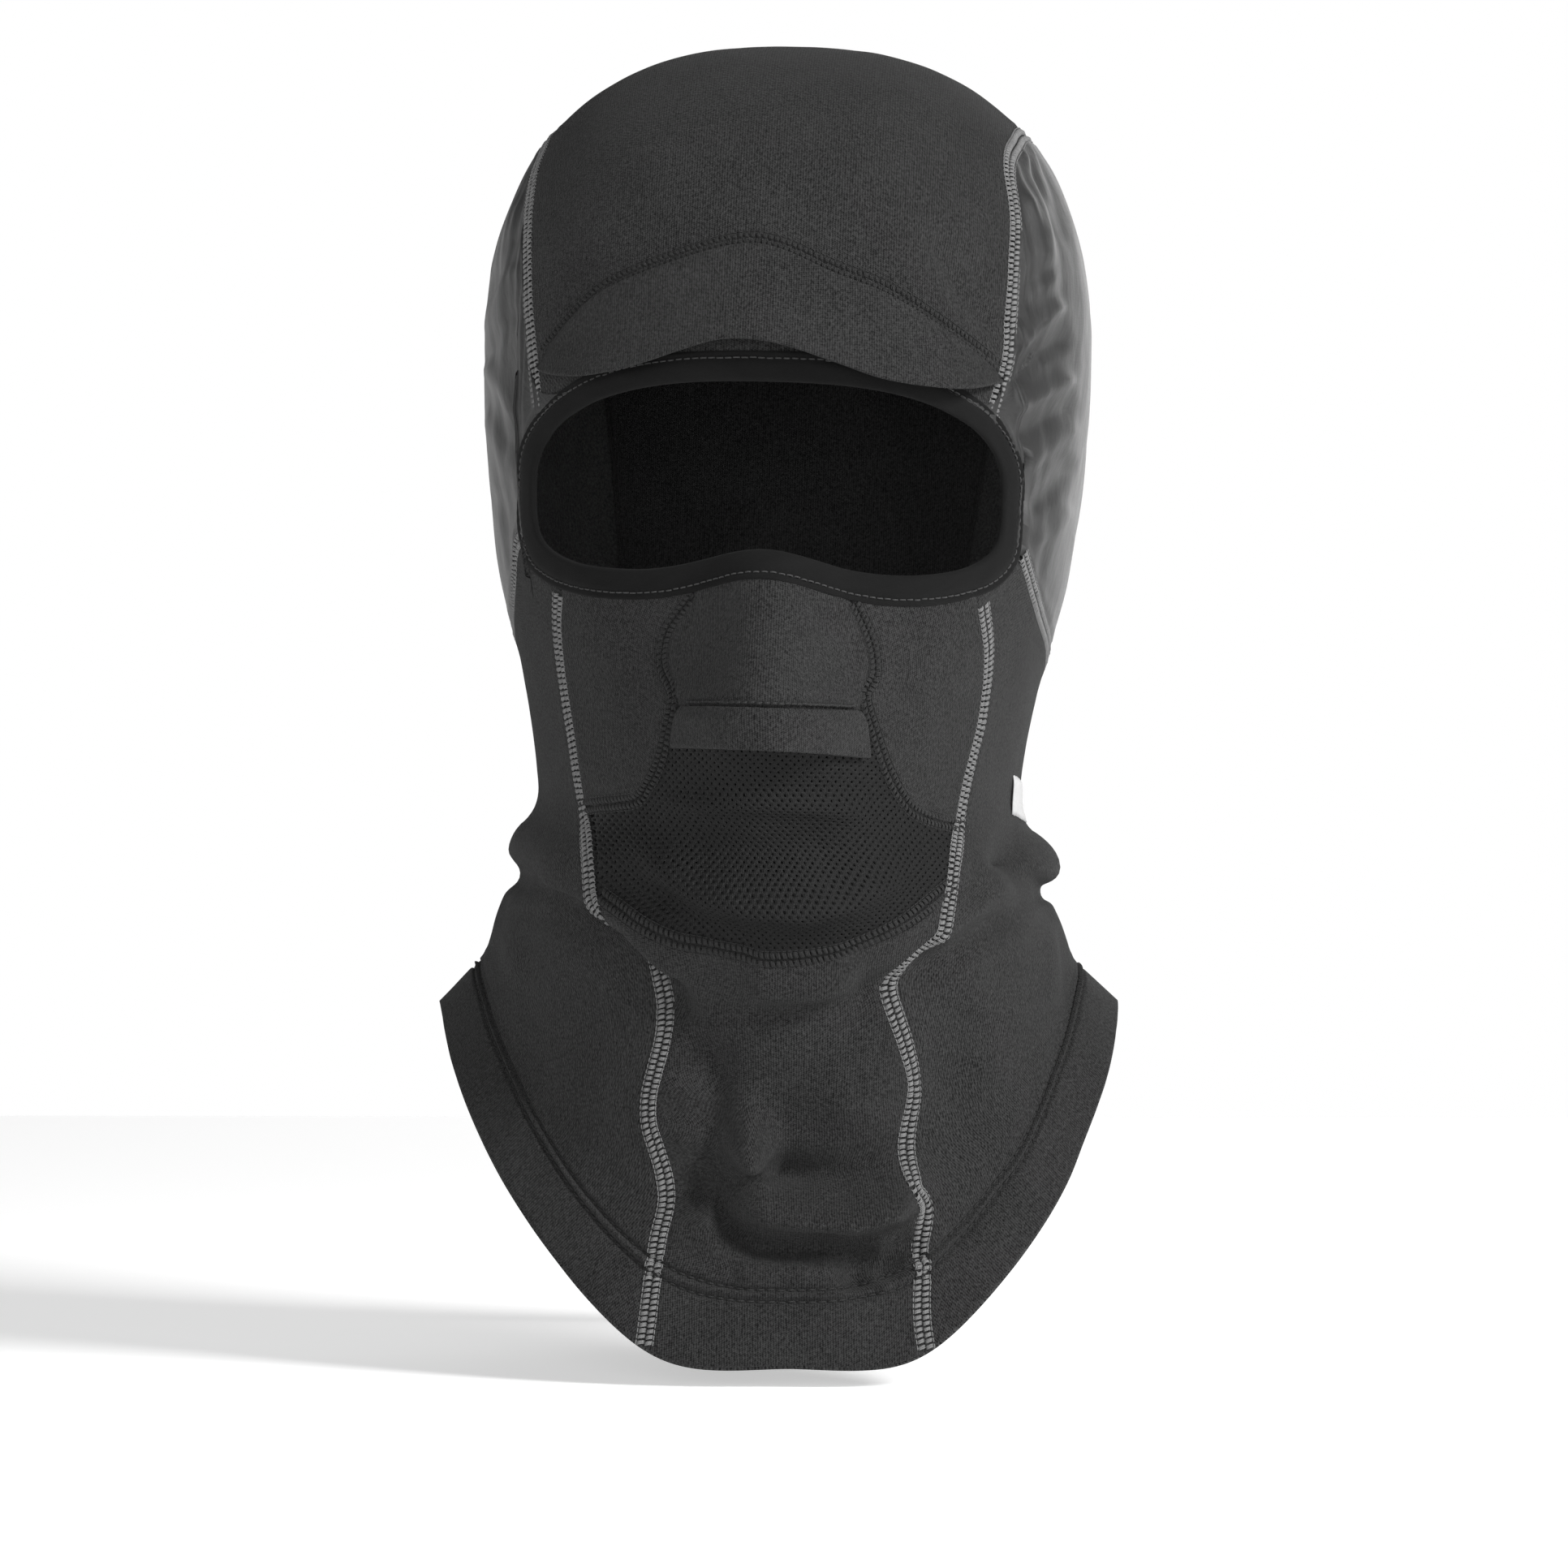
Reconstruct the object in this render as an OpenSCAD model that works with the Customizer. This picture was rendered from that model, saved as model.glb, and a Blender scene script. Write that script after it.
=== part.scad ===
// Technical balaclava with a soft peak, a face opening and a neck bib, in its worn shape.
// +Z is up, the face looks along -Y, and the wearer's left is +X. The origin is in the middle
// of the head, on the eye line. Every panel is a shell of fabric on one body surface, and the
// seams are flat strips of thread that bridge the panel edges.

/* [Size] */
// Outer width of the hood over the temples
head_w = 160; // [150:1:172]
// Outer length of the hood from forehead to occiput
head_l = 202; // [190:1:214]
// Height from the front tip of the hem to the crown
hood_h = 343; // [325:1:370]

/* [Face opening] */
// Clear width between the binding's inner edges
opening_w = 120; // [108:1:126]
// Height of the upper inner edge over the eye line's widest level
opening_up = 26.6; // [22:0.2:30]
// Depth of the lower inner edge under the eye line's widest level
opening_down = 21.7; // [18:0.2:24]
// Rise of the lower edge over the bridge of the nose
nose_rise = 6.3; // [4:0.1:8]
// Width of the folded binding
trim_w = 8; // [6:0.5:9]

/* [Fabric] */
// Thickness of the stretch fleece
fleece_t = 1.2; // [0.9:0.1:1.6]
// Thickness of the windproof side fabric
shell_t = 0.5; // [0.4:0.1:0.8]
// Thickness of the side lining
lining_t = 0.8; // [0.6:0.1:1]
// Thickness of the mouth mesh
mesh_t = 0.9; // [0.7:0.1:1.2]
// Thickness of the folded binding
trim_t = 2.2; // [1.8:0.1:2.8]
// Width of the hem's folded band
hem_w = 20; // [15:1:25]

/* [Seams] */
// Width of the light flatlock seams
seam_w = 4.6; // [3:0.2:6]
// Width of the dark face seams
face_seam_w = 4.2; // [3:0.2:5]
// Width of the topstitching thread
stitch_w = 0.8; // [0.5:0.1:1]
// How far the thread stands out of the fabric
seam_out = 0.4; // [0.3:0.1:0.6]

/* [Peak] */
// Height of the peak's seam over the eye line, at the middle
peak_top = 72; // [66:1:78]
// Thickness of the peak's outer and lower layers
peak_t = 0.9; // [0.7:0.1:1.2]
// Thickness of the springy sheet inside the peak
insert_t = 0.6; // [0.4:0.1:0.7]
// How far the free edge stands off the forehead at the middle
peak_lift = 7; // [4:0.5:9]

/* [Nose flap] */
// Length of the flap under its seam
flap_len = 11.5; // [9:0.5:13]
// Thickness of the folded flap
flap_t = 2.4; // [2:0.1:3]

/* [Hidden] */

// Scale of each axis from the base sizes that the tables below are drawn for
kx = head_w / 160;
ky = head_l / 202;
kz = hood_h / 343;

dome_z = 48;        // level where the dome starts
dome_h = 81;        // height of the dome over that level
hem_level = -214;   // front level of the hem's edge
dome_n = 2.4;       // superellipse exponent of the dome
bib_e = 1.9;        // how fast the hem rises from front to side
gap = 0.25;         // gap between a panel's edge and its seam line
facing_gap = 0.8;   // gap between the panels and the hem's folded allowance
overhang = 0.3;     // how far a seam's thread stands out on the inner face
back = 180;         // angle of the middle of the back
crown_lip = 58.5;   // half width of the crown panel at the binding
mesh_end = 45.5;    // distance from the middle where the mesh seam meets the front seams
corner = 0.14;      // part of the side panel's lower edge that follows the binding's corner
jaw_start = 53.5;   // angle where the jaw seam leaves the binding
jaw_end = 141;      // angle where the jaw seam meets the back seam
neck_start = 43.6;  // angle of the neck side's upper front corner
seam_drop = 0.6;    // distance from the jaw seam's middle to the panels it joins
side_room = 0.5;    // gap between the windproof fabric and its lining
nape_level = -42;   // level of the nape seam

// Body sections: [level, half width, y at the side, y at the front, y at the back, exponent,
// side height, back height]. Level is the height at the middle of the front.
SECTIONS = [
    [-214, 90.0, 18, -77, 108, 2.35, -123, -186],
    [-194, 79.5, 17, -74, 103, 2.35, -112, -167],
    [-180, 77.8, 17, -72, 100, 2.35, -109, -155],
    [-150, 76.3, 16, -72,  93, 2.3, -105, -134],
    [-125, 75.0, 16, -78,  87, 2.2, -101, -116],
    [-110, 73.8, 16, -87,  83, 2.1,  -98, -105],
    [-100, 72.4, 16, -92,  81, 2.1,  -95,  -97],
    [ -92, 70.0, 16, -94,  80, 2.1,  -91,  -91],
    [ -84, 70.5, 16, -95,  81, 2.1,  -84,  -84],
    [ -75, 64.0, 16, -95,  77, 2.2,  -75,  -75],
    [ -62, 64.0, 15, -95,  79, 2.3,  -62,  -62],
    [ -45, 66.6, 14, -94,  85, 2.35, -45,  -45],
    [ -25, 71.0, 12, -94,  92, 2.4,  -25,  -25],
    [ -10, 74.6, 10, -95,  97, 2.4,  -10,  -10],
    [  10, 77.6,  9, -97, 102, 2.4,   10,   10],
    [  30, 79.2,  8, -98, 104, 2.4,   30,   30],
    [  48, 79.6,  8, -98, 104, 2.4,   48,   48]
];
// Nose, lips and chin on the middle of the face: [level, reach, half width]
NOSE = [
    [-125, 0, 30], [-112, 0, 30], [-100, 4, 30], [-88, 5, 28], [-76, 7, 27], [-68, 9, 25],
    [-60, 16, 23], [-52, 25, 21], [-44, 28, 20], [-34, 23, 18], [-20, 15, 15], [-6, 8, 13],
    [8, 1, 12], [18, 0, 12], [30, 0, 12]
];
nose_top = 30;      // level where the nose starts
nose_end = -125;    // level where the chin ends
// Seam lines: [level or position, distance from the middle]
FRONT_SEAM = [
    [-214, 36.5], [-197, 35.5], [-180, 34], [-165, 31], [-146, 33], [-132, 30.5], [-120, 30],
    [-111, 36], [-100, 43], [-90, 46.5], [-78, 49], [-62, 51.8], [-46, 53], [-31, 53.5], [-15, 53.5]
];
CHEEK_SEAM = [
    [-74, 49], [-72.5, 40], [-69, 34], [-64, 29.5], [-57, 26.3], [-48.5, 24.5], [-41.5, 25.4],
    [-33, 26.6], [-26, 24.8], [-17, 20]
];
BACK_SEAM = [[-214, 52], [-190, 49], [-150, 46], [-100, 43], [-42, 44]];
// Over the head: position is the level over the dome's start in front, then degrees over the
// dome, then 180 plus the depth under the dome's start behind
CROWN_SEAM = [
    [-18, 58.5], [0, 60.5], [40, 62.5], [80, 63.5], [110, 62], [150, 59], [180, 56], [228, 50],
    [270, 44]
];
NAPE = 270;         // position of the nape seam in that count
// Seams that cross the front: [distance from the middle, level]
MESH_SEAM = [[0, -111], [13, -109], [26, -104], [37, -97.5], [46, -92]];
PEAK_SEAM = [[0, 0], [13, -1.5], [24, -6], [36, -12], [48, -19], [60, -28]];
PEAK_EDGE = [[0, -24], [10, -25.5], [20, -29], [30, -32], [40, -34], [50, -34], [59, -29.5]];
// Jaw seam: [angle round the head, level]
JAW_SEAM = [[52.5, -4], [62, -10], [75, -19], [90, -27], [115, -35], [142, -41.5], [150, -42]];
// Upper front corner of the neck's side panel, under the binding, in the same way
NECK_CORNER = [[43.6, -16.9], [47, -15.2], [50, -13.3], [53, -8.7]];

// Levels of the rows that the neck panels and their seams share, under their upper edges
NECK_ROWS = [
    -56, -64, -71, -76, -80, -84, -88, -92, -97, -103, -111, -122, -136, -152, -168, -182, -198, -214
];
THROAT_ROWS = [-120, -130, -142, -156, -170, -184, -199, -214];

// ---- Interpolation ----

// Index of the span of table t that holds x
function span(t, x, i = 0) = i >= len(t) - 2 || x < t[i + 1][0] ? i : span(t, x, i + 1);

// Slope of column c at row i of table t
function slope(t, i, c) =
    let (a = max(i - 1, 0), b = min(i + 1, len(t) - 1))
    (t[b][c] - t[a][c]) / (t[b][0] - t[a][0]);

// Column c of table t at x, on a smooth curve through its rows
function at(t, x, c = 1) =
    let (i = span(t, x), h = t[i + 1][0] - t[i][0], u = min(max((x - t[i][0]) / h, 0), 1))
    t[i][c] * (2 * u * u * u - 3 * u * u + 1) + slope(t, i, c) * h * (u * u * u - 2 * u * u + u)
    + t[i + 1][c] * (3 * u * u - 2 * u * u * u) + slope(t, i + 1, c) * h * (u * u * u - u * u);

function lerp(a, b, t) = a + (b - a) * t;
function unit(v) = v / norm(v);
// Even steps from a to b
function steps(a, b, n) = [for (i = [0 : n]) lerp(a, b, i / n)];

// ---- Body surface ----

// Point at angle a on the unit superellipse of exponent n: [sine like, cosine like]
function oval(a, n) =
    let (d = pow(pow(abs(sin(a)), n) + pow(abs(cos(a)), n), 1 / n))
    [sin(a) / d, cos(a) / d];

// The other coordinate of the unit superellipse
function oval_rest(s, n) = pow(max(1 - pow(min(abs(s), 1), n), 0), 1 / n);

// How far the nose, lips and chin stand out at x
function nose_reach(x, level) =
    level > nose_top || level < nose_end ? 0 :
    at(NOSE, level) * exp(-pow(abs(x) / at(NOSE, level, 2), 2.2));

// Body point at angle a (0 in front, 90 at the left side) and height e along the surface,
// where e is 0 at the dome's start, and runs over the dome as an arc
function body(a, e) = e > 0 ? dome(a, e) : section(a, dome_z + e);

function dome(a, e) =
    let (v = oval(e / dome_h * 180 / PI, dome_n), o = oval(a, dome_n), top = SECTIONS[len(SECTIONS) - 1])
    [top[1] * v[1] * o[0],
     top[2] + v[1] * abs(o[1]) * ((o[1] > 0 ? top[3] : top[4]) - top[2]),
     dome_z + dome_h * v[0]];

function section(a, level) =
    let (
        o = oval(a, at(SECTIONS, level, 5)), front = o[1] > 0, c = abs(o[1]),
        x = at(SECTIONS, level, 1) * o[0], side_y = at(SECTIONS, level, 2),
        side_z = at(SECTIONS, level, 6), end_z = front ? level : at(SECTIONS, level, 7)
    )
    [x,
     side_y + c * (at(SECTIONS, level, front ? 3 : 4) - side_y) - (front ? nose_reach(x, level) : 0),
     side_z + (end_z - side_z) * pow(c, bib_e)];

// [angle, height] of the front point at x on a level, and of the back one
function front_at(x, level) =
    let (n = at(SECTIONS, level, 5), s = x / at(SECTIONS, level, 1))
    [atan2(s, oval_rest(s, n)), level - dome_z];
function back_at(x, level) = let (p = front_at(x, level)) [back - p[0], p[1]];

// [angle, height] of the point at x on the strip over the head, at position q of CROWN_SEAM
function crown_at(x, q) =
    q <= 0 ? front_at(x, dome_z + q) :
    q >= back ? back_at(x, dome_z - (q - back)) :
    let (
        s = x / SECTIONS[len(SECTIONS) - 1][1], rest = oval_rest(s, dome_n), v = oval(q, dome_n),
        up = rest * v[0]
    )
    [atan2(s, rest * v[1]), dome_h * atan2(up, oval_rest(up, dome_n)) * PI / 180];

// Body point scaled to the driving sizes
function skin(p) = let (b = body(p[0], p[1])) [b[0] * kx, b[1] * ky, b[2] * kz];

// A normal turned to point away from the head's middle
function outward(n, p) = n * [p[0], p[1] - 10, p[2] - min(p[2], 30)] < 0 ? -n : n;

function normal_at(p) =
    let (d = 0.5, s = skin(p))
    outward(unit(cross(skin(p + [d, 0]) - skin(p - [d, 0]), skin(p + [0, d]) - skin(p - [0, d]))), s);

// ---- Face opening ----

// Height of the opening's edge at x, off outside the clear opening
rim_z = 9;          // widest level of the opening
rim_upper_n = 2.6;  // superellipse exponent of its upper edge
rim_lower_n = 4;    // and of its lower edge
rim_side = 0.62;    // part of an offset that widens the opening
bridge_w = 20;      // half width of the rise over the nose
function rim_half(off) = opening_w / 2 / kx + rim_side * off;
function rim_top(x, off) = rim_z + (opening_up + off) * oval_rest(x / rim_half(off), rim_upper_n);
function rim_low(x, off) =
    rim_z - (opening_down + off) * oval_rest(x / rim_half(off), rim_lower_n)
    + nose_rise * exp(-pow(x / bridge_w, 2));

// [angle, height] of the edge at turn t round the opening
function rim_at(t, off) =
    let (
        up = sin(t) >= 0, o = oval(t, up ? rim_upper_n : rim_lower_n), x = rim_half(off) * o[1],
        z = up ? rim_top(x, off) : rim_low(x, off)
    )
    front_at(x, z);

// ---- Solids ----

// Rows of points as a closed shell between offsets hi and lo from the surface
module shell(rows, hi, lo) {
    m = len(rows);
    n = len(rows[0]);
    p = [for (r = rows) [for (c = r) skin(c)]];
    nrm = [for (i = [0 : m - 1]) [for (j = [0 : n - 1])
        outward(unit(cross(p[min(i + 1, m - 1)][j] - p[max(i - 1, 0)][j],
                           p[i][min(j + 1, n - 1)] - p[i][max(j - 1, 0)])), p[i][j])]];
    closed_shell([for (i = [0 : m - 1]) [for (j = [0 : n - 1]) p[i][j] + nrm[i][j] * hi]],
                 [for (i = [0 : m - 1]) [for (j = [0 : n - 1]) p[i][j] + nrm[i][j] * lo]]);
}

// Polyhedron between two matching sheets of points
module closed_shell(top, low) {
    m = len(top);
    n = len(top[0]);
    q = m * n;
    faces = [for (i = [0 : m - 2], j = [0 : n - 2]) each [
        [i * n + j, i * n + j + 1, (i + 1) * n + j + 1], [i * n + j, (i + 1) * n + j + 1, (i + 1) * n + j],
        [q + i * n + j, q + (i + 1) * n + j + 1, q + i * n + j + 1],
        [q + i * n + j, q + (i + 1) * n + j, q + (i + 1) * n + j + 1]]];
    rim = concat([for (j = [0 : n - 2]) j], [for (i = [0 : m - 2]) i * n + n - 1],
                 [for (j = [n - 1 : -1 : 1]) (m - 1) * n + j], [for (i = [m - 1 : -1 : 1]) i * n]);
    walls = [for (k = [0 : len(rim) - 1]) let (a = rim[k], b = rim[(k + 1) % len(rim)])
        each [[b, a, q + a], [b, q + a, q + b]]];
    all_faces = concat(faces, walls);
    flip = signed_volume(concat([for (r = top) each r], [for (r = low) each r]), all_faces) < 0;
    polyhedron(concat([for (r = top) each r], [for (r = low) each r]),
               flip ? all_faces : [for (f = all_faces) [f[2], f[1], f[0]]], convexity = 8);
}

function sum(v, i = 0, s = 0) = i >= len(v) ? s : sum(v, i + 1, s + v[i]);
function signed_volume(p, faces) = sum([for (f = faces) p[f[0]] * cross(p[f[1]], p[f[2]])]);

// Flat strip of width w that follows a path on the surface, between offsets hi and lo
module strip(path, w, hi, lo, loop = false) {
    m = len(path);
    p = [for (c = path) skin(c)];
    nrm = [for (c = path) normal_at(c)];
    across = [for (i = [0 : m - 1])
        let (a = loop ? (i + m - 1) % m : max(i - 1, 0), b = loop ? (i + 1) % m : min(i + 1, m - 1))
        unit(cross(p[b] - p[a], nrm[i])) * w / 2];
    points = [for (i = [0 : m - 1]) each [
        p[i] + nrm[i] * hi - across[i], p[i] + nrm[i] * hi + across[i],
        p[i] + nrm[i] * lo + across[i], p[i] + nrm[i] * lo - across[i]]];
    rings = loop ? m : m - 1;
    sides = [for (i = [0 : rings - 1], k = [0 : 3])
        let (a = i * 4, b = ((i + 1) % m) * 4, k2 = (k + 1) % 4)
        each [[a + k, b + k, b + k2], [a + k, b + k2, a + k2]]];
    last = (m - 1) * 4;
    ends = loop ? [] : [[0, 1, 2], [0, 2, 3], [last, last + 2, last + 1], [last, last + 3, last + 2]];
    faces = concat(sides, ends);
    flip = signed_volume(points, faces) < 0;
    polyhedron(points, flip ? faces : [for (f = faces) [f[2], f[1], f[0]]], convexity = 8);
}

// Both sides of a symmetric pair: 1 is the wearer's left, -1 the right
module on_side(s) {
    if (s > 0) children();
    else mirror([1, 0, 0]) children();
}

FLEECE = "#3a3a3c";
SHELL = "#48484a";
BLACK = "#1c1c1d";
THREAD = "#8a8a8c";
DARK = "#2b2b2c";

// ---- Panels ----

function crown_x(q) = at(CROWN_SEAM, q);
function front_x(level) = at(FRONT_SEAM, level);
function back_x(level) = at(BACK_SEAM, level);

// Position on the crown strip for column x of row i: the first rows run up from the binding
function crown_q(x, i) =
    i < 3 ? lerp(rim_top(x, trim_w) + gap - dome_z, 0, i / 3) :
    i < 21 ? (i - 3) * 10 : lerp(180, NAPE - gap, (i - 21) / 9);

module crown_panel()
    color(FLEECE)
    shell([for (i = [0 : 30]) [for (u = steps(-1, 1, 12))
        let (q = crown_q(u * crown_lip, i)) crown_at(u * (crown_x(max(q, -17)) - gap), q)]], 0, -fleece_t);

// Lower edge of the side panel at u from 0 to 1: round the binding's corner, then the jaw seam
function side_low(u) =
    u < corner ? rim_at(lerp(41, -26, u / corner), trim_w + 0.5) :
    let (a = lerp(jaw_start, jaw_end, (u - corner) / (1 - corner))) [a, at(JAW_SEAM, a) + seam_drop - dome_z];
function side_top(u) = let (q = lerp(-15, NAPE - 2, u)) crown_at(crown_x(q) + 0.4, q);

module side_layer(hi, lo, cols, rows)
    shell([for (v = steps(0, 1, rows)) [for (u = steps(0.02, 0.985, cols))
        lerp(side_low(u), side_top(u), v)]], hi, lo);

module side_panel(s) color(SHELL) on_side(s) side_layer(0, -shell_t, 22, 8);
module side_lining(s)
    color(FLEECE) on_side(s)
    side_layer(-shell_t - side_room, -shell_t - side_room - lining_t, 16, 6);

// Upper edge of the neck's side panel at angle a: under the binding, then under the jaw seam
function neck_top(a) =
    a < NECK_CORNER[3][0] ? at(NECK_CORNER, a) : at(JAW_SEAM, a) - seam_drop;

function neck_at(u, row) =
    let (
        a0 = lerp(neck_start, jaw_end, u),
        level = row < 3 ? lerp(neck_top(a0), NECK_ROWS[0], row / 3) : NECK_ROWS[row - 3],
        near = front_at(front_x(min(level, -19)) + gap, level)[0],
        far = back_at(back_x(min(level, nape_level)) + gap, min(level, nape_level))[0]
    )
    [lerp(near, far, u), level - dome_z];

module neck_side(s)
    color(FLEECE) on_side(s)
    shell([for (row = [0 : len(NECK_ROWS) + 2]) [for (u = steps(0, 1, 13)) neck_at(u, row)]], 0, -fleece_t);

module back_neck_panel()
    color(FLEECE)
    shell([for (level = concat([nape_level - gap, -49], NECK_ROWS)) [for (u = steps(-1, 1, 10))
        back_at(u * (back_x(level) - gap), level)]], 0, -fleece_t);

module throat_panel()
    color(FLEECE)
    shell([for (row = [0 : len(THROAT_ROWS) + 2]) [for (u = steps(-1, 1, 10))
        let (
            start = at(MESH_SEAM, abs(u) * mesh_end) - gap,
            level = row < 3 ? lerp(start, THROAT_ROWS[0], row / 3) : THROAT_ROWS[row - 3]
        )
        front_at(u * (row == 0 ? mesh_end - gap : front_x(level) - gap), level)]], 0, -fleece_t);

// The hem's allowance, folded up inside the panels
module hem_facing()
    color(FLEECE)
    ring_band(hem_level + hem_w - 1, hem_level + 0.6, -fleece_t - facing_gap, -2 * fleece_t - facing_gap, 72);

// Closed band round the body between two levels
module ring_band(high, low, hi, lo, count) {
    turns = [for (i = [0 : count - 1]) i * 360 / count];
    sheet = [for (o = [hi, lo]) [for (level = [high, low]) [for (a = turns)
        let (p = [a, level - dome_z]) skin(p) + normal_at(p) * o]]];
    loops = [sheet[0][0], sheet[0][1], sheet[1][1], sheet[1][0]];
    points = [for (l = loops) each l];
    faces = [for (k = [0 : 3], i = [0 : count - 1])
        let (a = k * count + i, b = k * count + (i + 1) % count,
             c = ((k + 1) % 4) * count + i, d = ((k + 1) % 4) * count + (i + 1) % count)
        each [[a, b, d], [a, d, c]]];
    flip = signed_volume(points, faces) < 0;
    polyhedron(points, flip ? faces : [for (f = faces) [f[2], f[1], f[0]]], convexity = 8);
}

cheek_end = -72.6;  // level of the cheek panel's lower edge
module cheek_panel(s)
    color(FLEECE) on_side(s)
    shell([for (v = steps(0, 1, 8)) [for (u = steps(0, 1, 5))
        let (
            x0 = lerp(20.5, 53, u), level = lerp(rim_low(x0, trim_w) - gap, cheek_end, v),
            near = at(CHEEK_SEAM, level) + gap, far = front_x(min(level, -15)) - gap
        )
        front_at(lerp(near, far, u), level)]], 0, -fleece_t);

flap_level = -46;   // level of the nose flap's seam
flap_half = 23;     // half the width of the nose flap
mesh_level = -49;   // level of the mesh's upper edge, under the flap
module nose_panel()
    color(FLEECE)
    shell([for (v = steps(0, 1, 6)) [for (u = steps(-1, 1, 10))
        let (level = lerp(rim_low(u * 20, trim_w) - gap, flap_level, v))
        front_at(u * (at(CHEEK_SEAM, level) - gap), level)]], 0, -fleece_t);

// Upper edge of the mesh at u from 0 to 1: level under the flap, then down the cheek seam
function mesh_top(u) =
    let (
        flat = 0.45, down = pow((u - flat) / (1 - flat), 0.8),
        level = u < flat ? mesh_level : lerp(mesh_level, CHEEK_SEAM[0][0], down)
    )
    [u < flat ? 24 * u / flat : at(CHEEK_SEAM, level) - 2 * gap, level - 2 * gap];
function mesh_low(u) = let (x = (mesh_end - 2 * gap) * u) [x, at(MESH_SEAM, x) + gap];

module mouth_mesh()
    color(BLACK)
    shell([for (v = steps(0, 1, 9)) [for (u = steps(-1, 1, 16))
        let (p = lerp(mesh_top(abs(u)), mesh_low(abs(u)), v)) front_at(u < 0 ? -p[0] : p[0], p[1])]],
        0, -mesh_t);

module face_trim()
    color(BLACK) rim_band(0, trim_w, 0.6, 0.6 - trim_t, 60);

// Closed band round the face opening between two distances from its edge
module rim_band(near, far, hi, lo, count) {
    turns = [for (i = [0 : count - 1]) i * 360 / count];
    mid = (near + far) / 2;
    profile = [[near + 0.6, hi - 0.3], [mid, hi], [far - 0.4, hi - 0.2], [far - 0.4, lo + 0.2], [mid, lo],
               [near + 0.6, lo + 0.3]];
    sides = len(profile);
    points = [for (c = profile) each [for (t = turns)
        let (p = rim_at(t, c[0])) skin(p) + normal_at(p) * c[1]]];
    faces = [for (k = [0 : sides - 1], i = [0 : count - 1])
        let (a = k * count + i, b = k * count + (i + 1) % count,
             c = ((k + 1) % sides) * count + i, d = ((k + 1) % sides) * count + (i + 1) % count)
        each [[a, b, d], [a, d, c]]];
    flip = signed_volume(points, faces) < 0;
    polyhedron(points, flip ? faces : [for (f = faces) [f[2], f[1], f[0]]], convexity = 8);
}

// ---- Peak ----

peak_half = 58;     // half the width of the peak
peak_room = 0.8;    // room between the peak's underside and the forehead at its seam
peak_clear = 3;     // distance from the seam's middle to the peak's upper edge

// Layer of the peak between offsets lo and hi over its underside
module peak_layer(hi, lo) {
    rows = [for (v = steps(0, 1, 5)) [for (u = steps(-1, 1, 14))
        let (
            x = u * peak_half, start = at(PEAK_SEAM, abs(x)) - peak_clear,
            level = peak_top + lerp(start, min(at(PEAK_EDGE, abs(x)), start - 2.5), v)
        )
        [crown_at(x, level > dome_z ? peak_turn(x, level) : level - dome_z),
         peak_room + peak_lift * v * v * (1 - 0.6 * u * u)]]];
    closed_shell([for (r = rows) [for (c = r) skin(c[0]) + normal_at(c[0]) * (c[1] + hi)]],
                 [for (r = rows) [for (c = r) skin(c[0]) + normal_at(c[0]) * (c[1] + lo)]]);
}

// Degrees over the dome of the front point at x and a height z
function peak_turn(x, z) =
    let (up = (z - dome_z) / dome_h, rest = oval_rest(x / SECTIONS[len(SECTIONS) - 1][1], dome_n))
    atan2(up, rest * oval_rest(up / rest, dome_n));

module peak_lining() color(DARK) peak_layer(peak_t, 0);
module peak_insert() color("white") peak_layer(peak_t + 0.1 + insert_t, peak_t + 0.1);
module peak_outer() color(FLEECE) peak_layer(2 * peak_t + 0.2 + insert_t, peak_t + 0.2 + insert_t);

// ---- Nose flap ----

// Point of the flap at x, drop under its seam, and offset in front of the nose
function flap_at(x, drop, off) =
    let (b = skin(front_at(x, flap_level - 0.5)))
    [b[0] * (1 + drop / 140), b[1] - off + 0.06 * drop, b[2] - drop];

module nose_flap() {
    sheet = function (off) [for (v = steps(0.05, 1, 3)) [for (u = steps(-1, 1, 10))
        flap_at(u * flap_half, v * flap_len, off)]];
    color(FLEECE) closed_shell(sheet(0.5 + flap_t), sheet(0.5));
}

// ---- Seams ----

hi = seam_out;
lo = -fleece_t - overhang;

module crown_seam(s)
    color(THREAD) on_side(s)
    strip([for (q = concat([-16, -8], steps(0, 180, 22), steps(189, NAPE - 1, 9))) crown_at(crown_x(q), q)],
          seam_w, hi, lo);

module jaw_seam(s)
    color(THREAD) on_side(s)
    strip([for (a = steps(55, 139.5, 16)) [a, at(JAW_SEAM, a) - dome_z]], seam_w, hi, lo);

module nape_seam()
    color(THREAD)
    strip([for (u = steps(-1, 1, 10)) back_at(u * back_x(nape_level), nape_level)], seam_w, hi, lo);

module front_seam(s)
    color(THREAD) on_side(s)
    strip([for (level = concat(steps(-18.8, -51, 5), NECK_ROWS)) front_at(front_x(level), level)],
          seam_w, hi, lo);

module back_seam(s)
    color(THREAD) on_side(s)
    strip([for (level = concat([-45, -49], NECK_ROWS)) back_at(back_x(level), level)], seam_w, hi, lo);

module cheek_seam(s)
    color(DARK) on_side(s)
    strip([for (level = concat(steps(-21, -64, 10), [-67, -69.5, -71.5, -73, -73.9]))
           front_at(at(CHEEK_SEAM, level), level)], face_seam_w, hi, lo);

module mesh_seam()
    color(DARK)
    strip([for (u = steps(-1, 1, 18)) let (x = abs(u) * 44) front_at(u < 0 ? -x : x, at(MESH_SEAM, x))],
          face_seam_w, hi, lo);

peak_seam_w = 3.2;  // width of the peak's seam
hem_row = 3.2;      // distance between the hem's needle rows

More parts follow.
